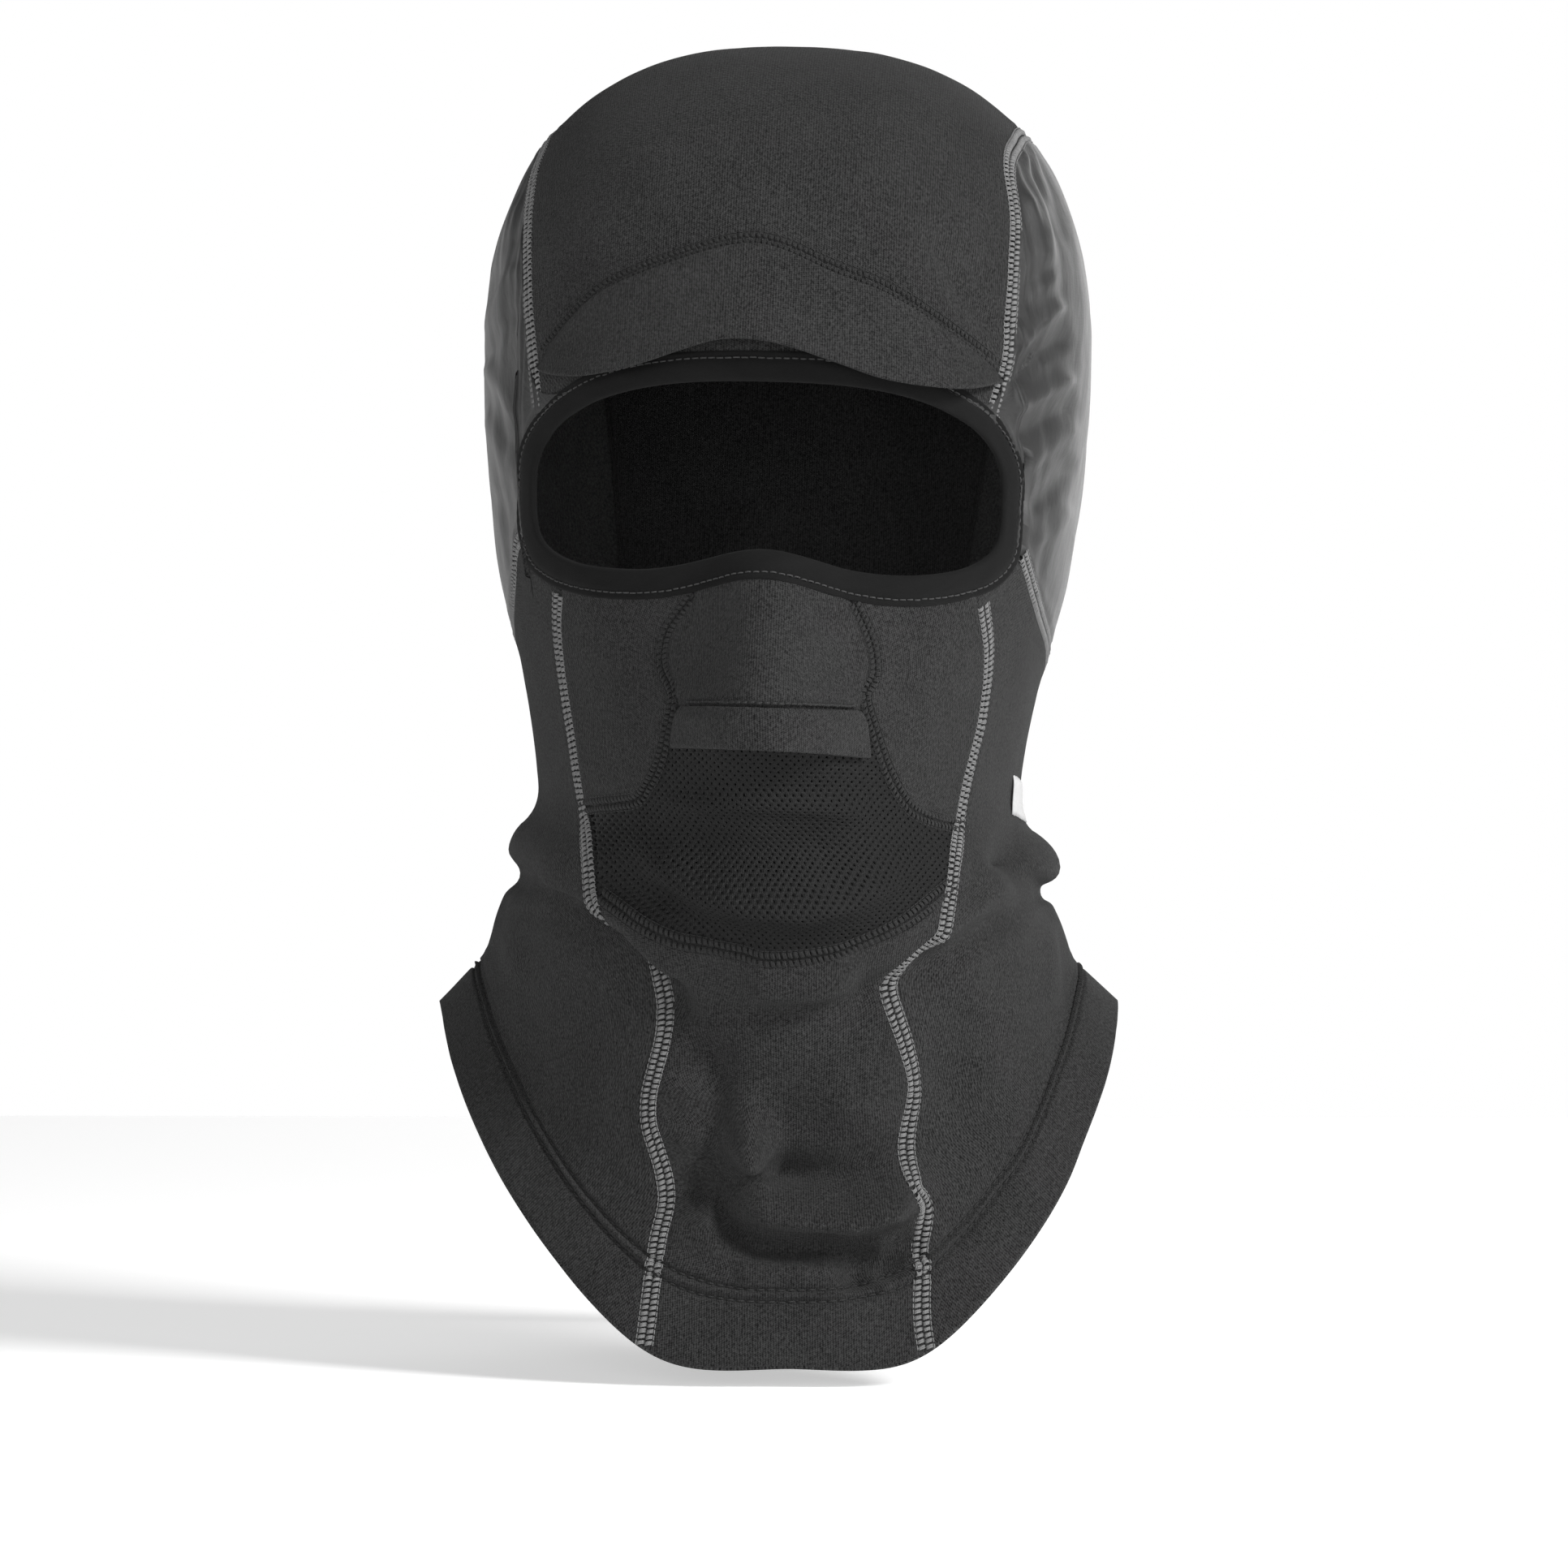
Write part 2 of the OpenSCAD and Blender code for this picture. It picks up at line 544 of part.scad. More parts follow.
module peak_seam()
    color(DARK)
    strip([for (u = steps(-1, 1, 24)) let (x = u * 59, level = peak_top + at(PEAK_SEAM, abs(x)))
           crown_at(x, level > dome_z ? peak_turn(x, level) : level - dome_z)], peak_seam_w, hi, lo);

module nose_flap_stitch()
    color(DARK)
    strip([for (u = steps(-1, 1, 10)) front_at(u * (flap_half - 0.5), flap_level + 1)], stitch_w, 0.2, lo);

module trim_stitch()
    color(THREAD)
    strip([for (i = [0 : 59]) rim_at(i * 6, trim_w - 2)], stitch_w, 0.8, lo - 0.3, loop = true);

module hem_stitch(level)
    color(DARK)
    strip([for (i = [0 : 71]) [i * 5, level - dome_z]], stitch_w, 0.25, -fleece_t - 1.5, loop = true);
module hem_stitch_upper() hem_stitch(hem_level + hem_w);
module hem_stitch_lower() hem_stitch(hem_level + hem_w - hem_row);

// ---- Badge and label ----

// Small plain embroidered bar on the left of the neck
module neck_badge()
    color("white")
    shell([for (v = steps(0, 1, 3)) [for (u = steps(0, 1, 6)) [lerp(72, 88, u), -62 - 9 * v - dome_z]]],
          0.8, 0.25);

// Blank woven label inside the nape
module care_label()
    color("white")
    shell([for (v = steps(0, 1, 4)) [for (u = steps(-1, 1, 4)) back_at(u * 14, -50 - 24 * v)]],
          -fleece_t - 0.3, -fleece_t - 0.7);

crown_panel();
side_panel(1);  // side_panel_left
side_panel(-1);  // side_panel_right
side_lining(1);  // side_lining_left
side_lining(-1);  // side_lining_right
neck_side(1);  // neck_side_left
neck_side(-1);  // neck_side_right
back_neck_panel();
throat_panel();
hem_facing();
cheek_panel(1);  // cheek_panel_left
cheek_panel(-1);  // cheek_panel_right
nose_panel();
mouth_mesh();
face_trim();
peak_outer();
peak_insert();
peak_lining();
nose_flap();
crown_seam(1);  // crown_seam_left
crown_seam(-1);  // crown_seam_right
jaw_seam(1);  // jaw_seam_left
jaw_seam(-1);  // jaw_seam_right
nape_seam();
front_seam(1);  // front_seam_left
front_seam(-1);  // front_seam_right
back_seam(1);  // back_seam_left
back_seam(-1);  // back_seam_right
cheek_seam(1);  // cheek_seam_left
cheek_seam(-1);  // cheek_seam_right
mesh_seam();
peak_seam();
nose_flap_stitch();
trim_stitch();
hem_stitch_upper();
hem_stitch_lower();
neck_badge();
care_label();
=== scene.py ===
"""Looks of a technical balaclava in its worn shape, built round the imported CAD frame.

Every panel, seam and stitch lies on one body surface, which repeats part.scad's sections. Lengths are
millimetres until a mesh is made. The surface takes an angle round the head (0 in front, 90 at +X) and a
height along it (0 at the dome's start), and worn() adds the folds, the lean of the head and the twist
of the bib, so whatever is laid on it stays together.
"""

import math

import bpy
import numpy as np
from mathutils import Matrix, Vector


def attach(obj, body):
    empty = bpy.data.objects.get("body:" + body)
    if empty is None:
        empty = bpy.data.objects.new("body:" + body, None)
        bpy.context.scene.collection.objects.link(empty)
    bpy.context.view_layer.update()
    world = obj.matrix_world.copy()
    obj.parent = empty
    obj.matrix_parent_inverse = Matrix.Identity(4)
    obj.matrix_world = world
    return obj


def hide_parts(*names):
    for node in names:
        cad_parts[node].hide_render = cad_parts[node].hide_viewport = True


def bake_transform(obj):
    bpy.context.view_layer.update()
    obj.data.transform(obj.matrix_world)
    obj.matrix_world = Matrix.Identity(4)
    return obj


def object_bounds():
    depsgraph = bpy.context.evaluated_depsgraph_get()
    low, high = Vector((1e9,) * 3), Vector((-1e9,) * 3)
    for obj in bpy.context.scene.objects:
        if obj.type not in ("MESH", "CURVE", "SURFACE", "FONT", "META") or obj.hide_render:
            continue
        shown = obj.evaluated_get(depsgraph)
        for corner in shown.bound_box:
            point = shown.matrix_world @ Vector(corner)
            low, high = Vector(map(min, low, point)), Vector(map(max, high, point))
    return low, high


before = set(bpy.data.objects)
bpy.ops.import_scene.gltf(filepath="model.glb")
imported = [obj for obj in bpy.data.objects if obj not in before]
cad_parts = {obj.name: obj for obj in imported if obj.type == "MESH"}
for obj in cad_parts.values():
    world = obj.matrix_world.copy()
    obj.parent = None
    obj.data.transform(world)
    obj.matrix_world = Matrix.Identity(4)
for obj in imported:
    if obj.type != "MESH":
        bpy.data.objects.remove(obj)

CAD_LOW, CAD_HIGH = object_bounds()
MM = 0.001
rng = np.random.default_rng(11)

# ---- Body surface: the same sections as part.scad ----

DOME_Z, DOME_H, DOME_N = 48.0, 81.0, 2.4
HEM, HEM_W, HEM_GAP = -214.0, 20.0, 3.2
BIB = 1.9
TRIM_W = 8.0
TUCK = 2.2
FLEECE_T = 1.2
BACK = 180.0
NAPE = 270.0
GAP = 0.25

# level, half width, y at the side, y in front, y behind, exponent, side height, back height
SECTIONS = np.array([
    [-214, 90.0, 18, -77, 108, 2.35, -123, -186],
    [-194, 79.5, 17, -74, 103, 2.35, -112, -167],
    [-180, 77.8, 17, -72, 100, 2.35, -109, -155],
    [-150, 76.3, 16, -72, 93, 2.3, -105, -134],
    [-125, 75.0, 16, -78, 87, 2.2, -101, -116],
    [-110, 73.8, 16, -87, 83, 2.1, -98, -105],
    [-100, 72.4, 16, -92, 81, 2.1, -95, -97],
    [-92, 70.0, 16, -94, 80, 2.1, -91, -91],
    [-84, 70.5, 16, -95, 81, 2.1, -84, -84],
    [-75, 64.0, 16, -95, 77, 2.2, -75, -75],
    [-62, 64.0, 15, -95, 79, 2.3, -62, -62],
    [-45, 66.6, 14, -94, 85, 2.35, -45, -45],
    [-25, 71.0, 12, -94, 92, 2.4, -25, -25],
    [-10, 74.6, 10, -95, 97, 2.4, -10, -10],
    [10, 77.6, 9, -97, 102, 2.4, 10, 10],
    [30, 79.2, 8, -98, 104, 2.4, 30, 30],
    [48, 79.6, 8, -98, 104, 2.4, 48, 48],
], float)
# level, reach, half width of the nose, lips and chin under the fabric
NOSE = np.array([
    [-125, 0, 30], [-112, 0, 30], [-100, 4, 30], [-88, 5, 28], [-76, 7, 27], [-68, 9, 25],
    [-60, 16, 23], [-52, 25, 21], [-44, 28, 20], [-34, 23, 18], [-20, 15, 15], [-6, 8, 13],
    [8, 1, 12], [18, 0, 12], [30, 0, 12],
], float)
# Front seams: level, distance from the middle; -1 is the wearer's right, 1 the left
FRONT_SEAM = {
    -1: np.array([
        [-214, 36.5], [-205.5, 35.3], [-195.5, 34], [-187.5, 32.8], [-177.5, 30.9], [-169.5, 31.6],
        [-164, 33], [-157.5, 34.8], [-150, 34.8], [-142, 33.4], [-133, 31.8], [-126.5, 32.6],
        [-119, 35.2], [-111.5, 38.5], [-104, 43.2], [-93, 46.0], [-81.5, 47.6], [-69, 48.6], [-57, 50.2],
        [-46.5, 52.2], [-35.5, 54], [-25, 55], [-15, 54.5],
    ], float),
    1: np.array([
        [-214, 35.2], [-207, 34.3], [-193, 34.3], [-181, 34.5], [-167.5, 29.8], [-157, 30.3], [-144, 31.5],
        [-133.5, 29.6], [-121.5, 27], [-114, 31], [-107.5, 36.5], [-99.5, 40.2], [-89, 43.5],
        [-78, 46.8], [-62, 50.6], [-46, 54], [-31, 55.3], [-15, 53.2],
    ], float),
}
CHEEK_SEAM = {
    -1: np.array([
        [-72.3, 50], [-71.4, 44.6], [-70.1, 34.5], [-66.5, 30.2], [-61.3, 26.9], [-53.8, 24.9],
        [-43, 23.4], [-35.6, 26.6], [-27, 25.6], [-18.4, 19.5],
    ], float),
    1: np.array([
        [-75, 50], [-74.2, 46], [-73, 41], [-70.5, 36.2], [-62, 31.5], [-51.5, 27.7], [-42, 25],
        [-36.5, 27], [-28, 25.5], [-18.5, 21],
    ], float),
}
BACK_SEAM = np.array([[-214, 52], [-190, 49], [-150, 46], [-100, 43], [-42, 44]], float)
CROWN_SEAM = {
    -1: np.array([
        [-18, 61.2], [0, 63.6], [10, 64.6], [24, 65.5], [38, 65.8], [50, 65.4], [60, 64.3], [85, 63.5],
        [110, 62], [150, 59], [180, 56], [228, 50], [270, 44],
    ], float),
    1: np.array([
        [-18, 54.8], [-4, 58.2], [7, 58.7], [19, 59], [30, 59], [45, 57], [58, 59], [80, 61],
        [110, 61], [150, 59], [180, 56], [228, 50], [270, 44],
    ], float),
}
MESH_SEAM = np.array([
    [-46, -90], [-42, -94.2], [-35.2, -99.5], [-26.8, -104], [-18, -107], [-6.8, -108.3], [5.2, -107.8],
    [15.8, -106.2], [26, -102], [32.8, -98], [39, -93.5], [46, -87.5],
], float)
# Jaw seams: angle round the head, level
JAW_SEAM = {
    -1: np.array([
        [52.5, -3], [58, -5], [61.5, -12.5], [67, -19.5], [77, -26.5], [90, -30.5], [115, -36.5],
        [142, -41.5], [150, -42],
    ], float),
    1: np.array([
        [52.5, -4.5], [55, -8.4], [60.5, -15.2], [66.8, -20.8], [76.5, -26], [90, -30.5], [115, -36.5],
        [142, -41.5], [150, -42],
    ], float),
}
# Peak, as worn: distance from the middle, height
PEAK_ARCH = np.array([
    [-60, 43.5], [-54.5, 49.5], [-47.8, 56], [-42, 60.5], [-31, 65], [-19, 68.9], [-10, 71.2],
    [-3, 71.6], [4, 69.8], [15, 64.8], [26, 60.6], [32, 57.6], [43, 50.7], [51, 45.2], [58.5, 39.5],
], float)
PEAK_EDGE = np.array([
    [-60, 41.5], [-54, 39.4], [-42.5, 38.5], [-31, 40.4], [-19.5, 44.2], [-12.5, 46.4], [-5.8, 46.8],
    [3.4, 45.2], [15, 41], [26, 37], [38, 35.3], [47, 35.3], [58.5, 37.5],
], float)


def at(rows, x, col=1):
    """Column col of a table at x, on a smooth curve through its rows."""
    x = np.asarray(x, float)
    i = np.clip(np.searchsorted(rows[:, 0], x, side="right") - 1, 0, len(rows) - 2)
    key, val = rows[:, 0], rows[:, col]
    before = np.maximum(np.arange(len(rows)) - 1, 0)
    after = np.minimum(np.arange(len(rows)) + 1, len(rows) - 1)
    slope = (val[after] - val[before]) / (key[after] - key[before])
    h = key[i + 1] - key[i]
    u = np.clip((x - key[i]) / h, 0, 1)
    return (val[i] * (2 * u**3 - 3 * u**2 + 1) + slope[i] * h * (u**3 - 2 * u**2 + u)
            + val[i + 1] * (3 * u**2 - 2 * u**3) + slope[i + 1] * h * (u**3 - u**2))


def lerp(a, b, t):
    return a + (b - a) * t


def smooth(x, a, b):
    t = np.clip((x - a) / (b - a), 0, 1)
    return t * t * (3 - 2 * t)


def bell(x, middle, width):
    """Bump of height 1 round a middle."""
    return np.exp(-(((x - middle) / width) ** 2))


def unit(v):
    return v / np.maximum(np.linalg.norm(v, axis=-1, keepdims=True), 1e-9)


def oval(angle, n):
    s, c = np.sin(np.radians(angle)), np.cos(np.radians(angle))
    d = (np.abs(s) ** n + np.abs(c) ** n) ** (1 / n)
    return s / d, c / d


def oval_rest(s, n):
    return np.maximum(1 - np.minimum(np.abs(s), 1) ** n, 0) ** (1 / n)


def nose_reach(x, level):
    reach = at(NOSE, level) * np.exp(-np.abs(x / at(NOSE, level, 2)) ** 2.2)
    return np.where((level > 30) | (level < -125), 0, reach)


def body(a, e):
    """Base points at angles a and heights e."""
    a, e = np.broadcast_arrays(np.asarray(a, float), np.asarray(e, float))
    level = DOME_Z + np.minimum(e, 0)
    s, c = oval(a, at(SECTIONS, level, 5))
    front, reach = c > 0, np.abs(c)
    x = at(SECTIONS, level, 1) * s
    side_y, side_z = at(SECTIONS, level, 2), at(SECTIONS, level, 6)
    end_y = np.where(front, at(SECTIONS, level, 3), at(SECTIONS, level, 4))
    end_z = np.where(front, level, at(SECTIONS, level, 7))
    y = side_y + reach * (end_y - side_y) - np.where(front, nose_reach(x, level), 0)
    low = np.stack([x, y, side_z + (end_z - side_z) * reach**BIB], -1)
    up, out = oval(np.degrees(np.maximum(e, 0) / DOME_H), DOME_N)
    s, c = oval(a, DOME_N)
    top = SECTIONS[-1]
    y = top[2] + out * np.abs(c) * (np.where(c > 0, top[3], top[4]) - top[2])
    high = np.stack([top[1] * out * s, y, DOME_Z + DOME_H * up], -1)
    return np.where((e > 0)[..., None], high, low)


def body_normal(a, e):
    """Outward normals of the base surface."""
    d = 0.25
    p = body(a, e)
    n = np.cross(body(a + d, e) - body(a - d, e), body(a, e + d) - body(a, e - d))
    top = SECTIONS[-1]
    q = p - [0, top[2], DOME_Z]
    flat = np.zeros(q.shape[:-1])
    deep = np.where(q[..., 1] < 0, top[2] - top[3], top[4] - top[2])
    half = np.stack([flat + top[1], deep, flat + DOME_H], -1)
    grad = np.sign(q) * np.abs(q / half) ** (DOME_N - 1) / half
    n = np.where((np.asarray(e) > 0)[..., None], unit(grad), unit(n))
    away = p - np.stack([0 * p[..., 0], 10 + 0 * p[..., 0], np.minimum(p[..., 2], 30)], -1)
    return np.where((np.sum(n * away, -1) < 0)[..., None], -n, n)


def front_at(x, level):
    n = at(SECTIONS, level, 5)
    s = x / at(SECTIONS, level, 1)
    return np.degrees(np.arctan2(s, oval_rest(s, n))), level - DOME_Z


def back_at(x, level):
    a, e = front_at(x, level)
    return BACK - a, e


def crown_at(x, q):
    """Angle and height on the strip over the head.

    q is a depth in front, then degrees over the dome, then a depth behind.
    """
    x, q = np.broadcast_arrays(np.asarray(x, float), np.asarray(q, float))
    fa, fe = front_at(x, DOME_Z + np.minimum(q, 0))
    ba, be = back_at(x, DOME_Z - np.maximum(q - BACK, 0))
    s = x / SECTIONS[-1][1]
    rest = oval_rest(s, DOME_N)
    vs, vc = oval(np.clip(q, 0, BACK), DOME_N)
    up = rest * vs
    ta = np.degrees(np.arctan2(s, rest * vc))
    te = DOME_H * np.arctan2(up, oval_rest(up, DOME_N))
    angle = np.where(q <= 0, fa, np.where(q >= BACK, ba, ta))
    return angle, np.where(q <= 0, fe, np.where(q >= BACK, be, te))


def forehead_at(x, z):
    """Angle and height of the front point at x and a height z."""
    x, z = np.broadcast_arrays(np.asarray(x, float), np.asarray(z, float))
    up = np.maximum(z - DOME_Z, 0) / DOME_H
    rest = oval_rest(x / SECTIONS[-1][1], DOME_N)
    turn = np.degrees(np.arctan2(up, rest * oval_rest(up / rest, DOME_N)))
    return crown_at(x, np.where(z > DOME_Z, turn, z - DOME_Z))


# ---- Face opening ----

OPENING_W, OPENING_UP, OPENING_DOWN, OPENING_Z = 120.0, 26.6, 21.7, 9
NOSE_RISE, NOSE_RISE_W = 6.3, 20
RIM_SHIFT = -1.8


def rim_half(off):
    return OPENING_W / 2 + 0.62 * off


def rim_top(x, off):
    return OPENING_Z + (OPENING_UP + off) * oval_rest((x - RIM_SHIFT) / rim_half(off), 2.6)


def rim_low(x, off):
    x = x - RIM_SHIFT
    edge = OPENING_Z - (OPENING_DOWN + off) * oval_rest(x / rim_half(off), 4)
    return edge + NOSE_RISE * np.exp(-((x / NOSE_RISE_W) ** 2))


def rim_at(turn, off):
    up = np.sin(np.radians(turn)) >= 0
    x = RIM_SHIFT + rim_half(off) * np.where(up, oval(turn, 2.6)[1], oval(turn, 4)[1])
    return front_at(x, np.where(up, rim_top(x, off), rim_low(x, off)))


# ---- Worn shape: folds, lean and twist ----

LATTICE_SIDE = 32
LATTICE = np.random.default_rng(5).random((LATTICE_SIDE,) * 3) * 2 - 1


def noise(p, size):
    """Smooth noise from -1 to 1 at points p, with cells of a size in millimetres."""
    q = p / size + 100
    i = np.floor(q).astype(int)
    f = q - i
    f = f * f * (3 - 2 * f)
    total = 0
    for dx in (0, 1):
        for dy in (0, 1):
            for dz in (0, 1):
                w = (np.where(dx, f[..., 0], 1 - f[..., 0]) * np.where(dy, f[..., 1], 1 - f[..., 1])
                     * np.where(dz, f[..., 2], 1 - f[..., 2]))
                cell = (i + [dx, dy, dz]) % LATTICE_SIDE
                total = total + w * LATTICE[cell[..., 0], cell[..., 1], cell[..., 2]]
    return total


# Folds of the front, seen from the front: line of (x, z), height, width above it, width below it
FRONT_FOLDS = [
    # lip and crease under the jaw, on the wearer's right
    ([(-66, -84), (-56, -89), (-48, -95), (-39, -101.5), (-31, -109), (-24, -117)], 4.2, 8, 3.2),
    ([(-63, -91), (-52, -97), (-43, -104), (-35, -112), (-28, -121), (-25, -131)], -6.0, 3.5, 7),
    # crease and lip under the jaw, on the wearer's left
    ([(66, -94), (55, -100), (43, -108), (31, -115.5), (18, -120), (8, -122)], -5.0, 4, 5.5),
    ([(62, -84), (55, -92), (46, -100), (34, -108)], 2.6, 7, 4),
    # below the mesh
    ([(20, -113), (10, -115.5), (-2, -116), (-14, -115)], 2.2, 6, 6),
    # hammock between the front seams, and the hollows round it
    ([(-14, -139), (-10, -152), (-8, -162), (-5, -168), (4, -169.5), (15, -170.5), (24, -168), (31, -162),
      (36, -157)], 12.0, 4.6, 7.6),
    ([(-25, -157), (-22, -168), (-16, -176.5), (-8, -182), (-1, -183.5), (10, -182.5), (18, -184.5),
      (25, -187), (32, -181), (38, -174)], -7.5, 4.5, 3.8),
    ([(-23, -126), (-18.6, -142), (-17, -154), (-17, -166)], -4.6, 5.5, 5.5),
    ([(-15, -190), (-6, -188), (1, -187), (8, -187.5)], 2.6, 3, 3),
    ([(22, -193), (28, -189), (34, -183)], 2.4, 4, 4),
    # sides of the neck
    ([(70, -99), (71, -112), (70, -124)], 1.5, 2.6, 2.6),
    ([(-68, -92), (-70, -104), (-69, -118)], 1.4, 2.4, 3),
    # side of the bib
    ([(50, -121), (45, -135), (38, -147)], -2.0, 6, 8),
    ([(60, -165), (48, -175), (40, -186)], -1.8, 4, 5),
    ([(58, -116), (50, -128), (45, -140)], 1.6, 9, 9),
    # crown
    ([(37, 76), (46, 60), (57, 48)], -1.6, 3.5, 3),
    ([(44, 74), (53, 60)], -1.0, 3, 3),
    # mesh
    ([(-32, -71), (-8, -69.5), (16, -70.5), (30, -73)], 1.5, 3.5, 3.5),
    ([(-28, -80), (-4, -83), (22, -80)], -2.2, 6, 6),
    ([(-38, -76), (-31, -85), (-22, -92), (-10, -95.5), (3, -96.5), (16, -94), (26, -88.5), (34, -80)],
     2.8, 4.5, 4),
    ([(-36, -90), (-22, -101), (-6, -105)], -1.6, 3.5, 3.5),
]
# Rounded swellings and hollows: x, z, half width, half height, height
FRONT_BUMPS = [
    (-3, -165.5, 15, 5.5, -14.0), (17, -141, 15, 12, 6.0), (6, -124, 14, 5, -3.0), (17, -190, 4, 4, -6.5),
    (61.5, -83, 5.5, 7, -8.0), (2, -114, 18, 5, 2.0), (-34, -150, 16, 22, 1.6), (58, -150, 14, 18, 1.2),
    (0, -205, 26, 7, 1.0),
]
# Creases of the windproof panels beside the peak's ends and the eyes: line of (x, z) and height
PULLS = {
    1: [
        ([(61.9, 90), (68, 76), (69, 65), (65, 57)], 1.7), ([(64, 97), (71.5, 84), (73.5, 72)], -1.3),
        ([(61, 50), (65.5, 61), (72, 70)], -1.6), ([(60.5, 43), (67, 52), (75, 60)], 1.9),
        ([(60, 35), (67, 44), (76.5, 51)], -1.9), ([(59, 28), (67, 34), (77.5, 41)], 1.9),
        ([(60, 21), (68, 27), (78, 34)], -1.4), ([(62, 14), (70.5, 22), (78, 29)], 1.2),
        ([(64, 3), (71, 10), (77, 20)], -1.5), ([(64, -4), (71, 0), (77, 8)], 0.9),
    ],
    -1: [
        ([(-67, 89), (-73, 77), (-76, 66)], 1.3), ([(-66, 79), (-72, 70), (-77, 58)], -1.2),
        ([(-66, 70), (-73, 61), (-77.5, 52)], 1.5), ([(-65.5, 58), (-72.5, 51), (-78, 43)], -1.4),
        ([(-78, 46), (-71.6, 37), (-66, 27)], 1.7), ([(-78, 40), (-73, 30), (-68, 19)], -1.6),
        ([(-78.5, 33), (-73, 23), (-69, 12)], 1.2), ([(-77, 12), (-72, 6), (-68, -2)], -1.2),
    ],
}


def fold(p, line, height, above, below):
    """Height of one fold at points p."""
    line = np.array(line, float)
    steps = np.diff(line, axis=0)
    length = np.linalg.norm(steps, axis=1)
    start = np.concatenate([[0], np.cumsum(length)])
    xz = p[..., [0, 2]]
    best = np.full(p.shape[:-1], 1e9)
    along = np.zeros(p.shape[:-1])
    side = np.zeros(p.shape[:-1])
    for k, d in enumerate(steps):
        v = xz - line[k]
        t = np.clip((v @ d) / (d @ d), 0, 1)
        gap = np.linalg.norm(v - t[..., None] * d, axis=-1)
        near = gap < best
        best = np.where(near, gap, best)
        along = np.where(near, (start[k] + t * length[k]) / start[-1], along)
        side = np.where(near, d[0] * v[..., 1] - d[1] * v[..., 0], side)
    width = np.where(side > 0, above, below)
    ends = smooth(along, 0, 0.22) * smooth(1 - along, 0, 0.22)
    return height * ends * np.exp(-((best / width) ** 2))


def relief(a, e, p):
    """How far the worn fabric stands out of the base surface, and how far its folds sag."""
    level = e + DOME_Z
    turn = np.abs((a + 180) % 360 - 180)
    right = smooth(p[..., 0], 25, -25)
    facing = 1 - smooth(p[..., 1], -20, 5)
    folds = sum(fold(p, *f) for f in FRONT_FOLDS)
    for x, z, wide, tall, height in FRONT_BUMPS:
        folds = folds + height * bell(p[..., 0], x, wide) * bell(p[..., 2], z, tall)
    folds = folds * facing
    sides = smooth(turn, 48, 78) * (1 - 0.7 * smooth(turn, 125, 165))
    # the roll at the side of the neck and the dent below it, on the wearer's left, then right
    roll = lerp(6.0 * bell(level, -81, 8.2), 4.2 * bell(level, -78, 5.4), right)
    dent = lerp(1.3 * bell(level, -97, 4.5), 2.0 * bell(level, -89.5, 4.2), right)
    folds = folds + sides * (roll - dent)
    sag = 0.55 * np.maximum(folds, 0)
    # the hem hangs lower at the front seams than between them
    hem = smooth(level, -180, -214) * facing
    sag = sag + hem * (2.6 * bell(np.abs(p[..., 0]), 35, 15) - 2.2 * bell(p[..., 0], 0, 17))
    # soft drag lines over the neck and a little unevenness everywhere
    soft = smooth(level, -70, -100) * 0.9 * noise(p * [1, 1, 0.6], 17)
    soft = soft + 0.45 * noise(p, 26) + 0.12 * noise(p, 7)
    soft = soft + smooth(level, -170, -214) * 1.3 * noise(p * [1, 1, 0.3], 24)
    # the hem's two needle rows pull the fabric in
    rows = [HEM + HEM_W, HEM + HEM_W - HEM_GAP]
    pulled = sum(1.15 * bell(level, row, 0.8) for row in rows)
    ridge = 0.5 * bell(level, np.mean(rows), 0.9)
    return folds + soft - pulled + ridge, sag


LEAN = math.radians(1.5)
TWIST = math.radians(3.9)


def lean(p):
    """The head leans and turns a little against the bib."""
    x, y, z = p[..., 0], p[..., 1], p[..., 2]
    tilt = LEAN * smooth(z, -110, -60)
    x, z = x * np.cos(tilt) + z * np.sin(tilt), z * np.cos(tilt) - x * np.sin(tilt)
    turn = TWIST * smooth(p[..., 2], -60, -105)
    return np.stack([x - (y + 20) * np.sin(turn), y * np.cos(turn) + 0 * x, z], -1)


def worn(a, e, out=0.0):
    """Points of the worn surface at angles a and heights e, out millimetres over it."""
    a, e = np.broadcast_arrays(np.asarray(a, float), np.asarray(e, float))
    p = body(a, e)
    height, sag = relief(a, e, p)
    return lean(p + body_normal(a, e) * (height + out)[..., None] - sag[..., None] * [0, 0, 1])


def worn_normal(a, e):
    d = 0.3
    p = worn(a, e)
    n = unit(np.cross(worn(a + d, e) - worn(a - d, e), worn(a, e + d) - worn(a, e - d)))
    flip = np.sum(n * lean(body_normal(a, e) * 0.01 + body(a, e)) - n * lean(body(a, e)), -1) < 0
    return p, np.where(flip[..., None], -n, n)


# ---- Meshes ----

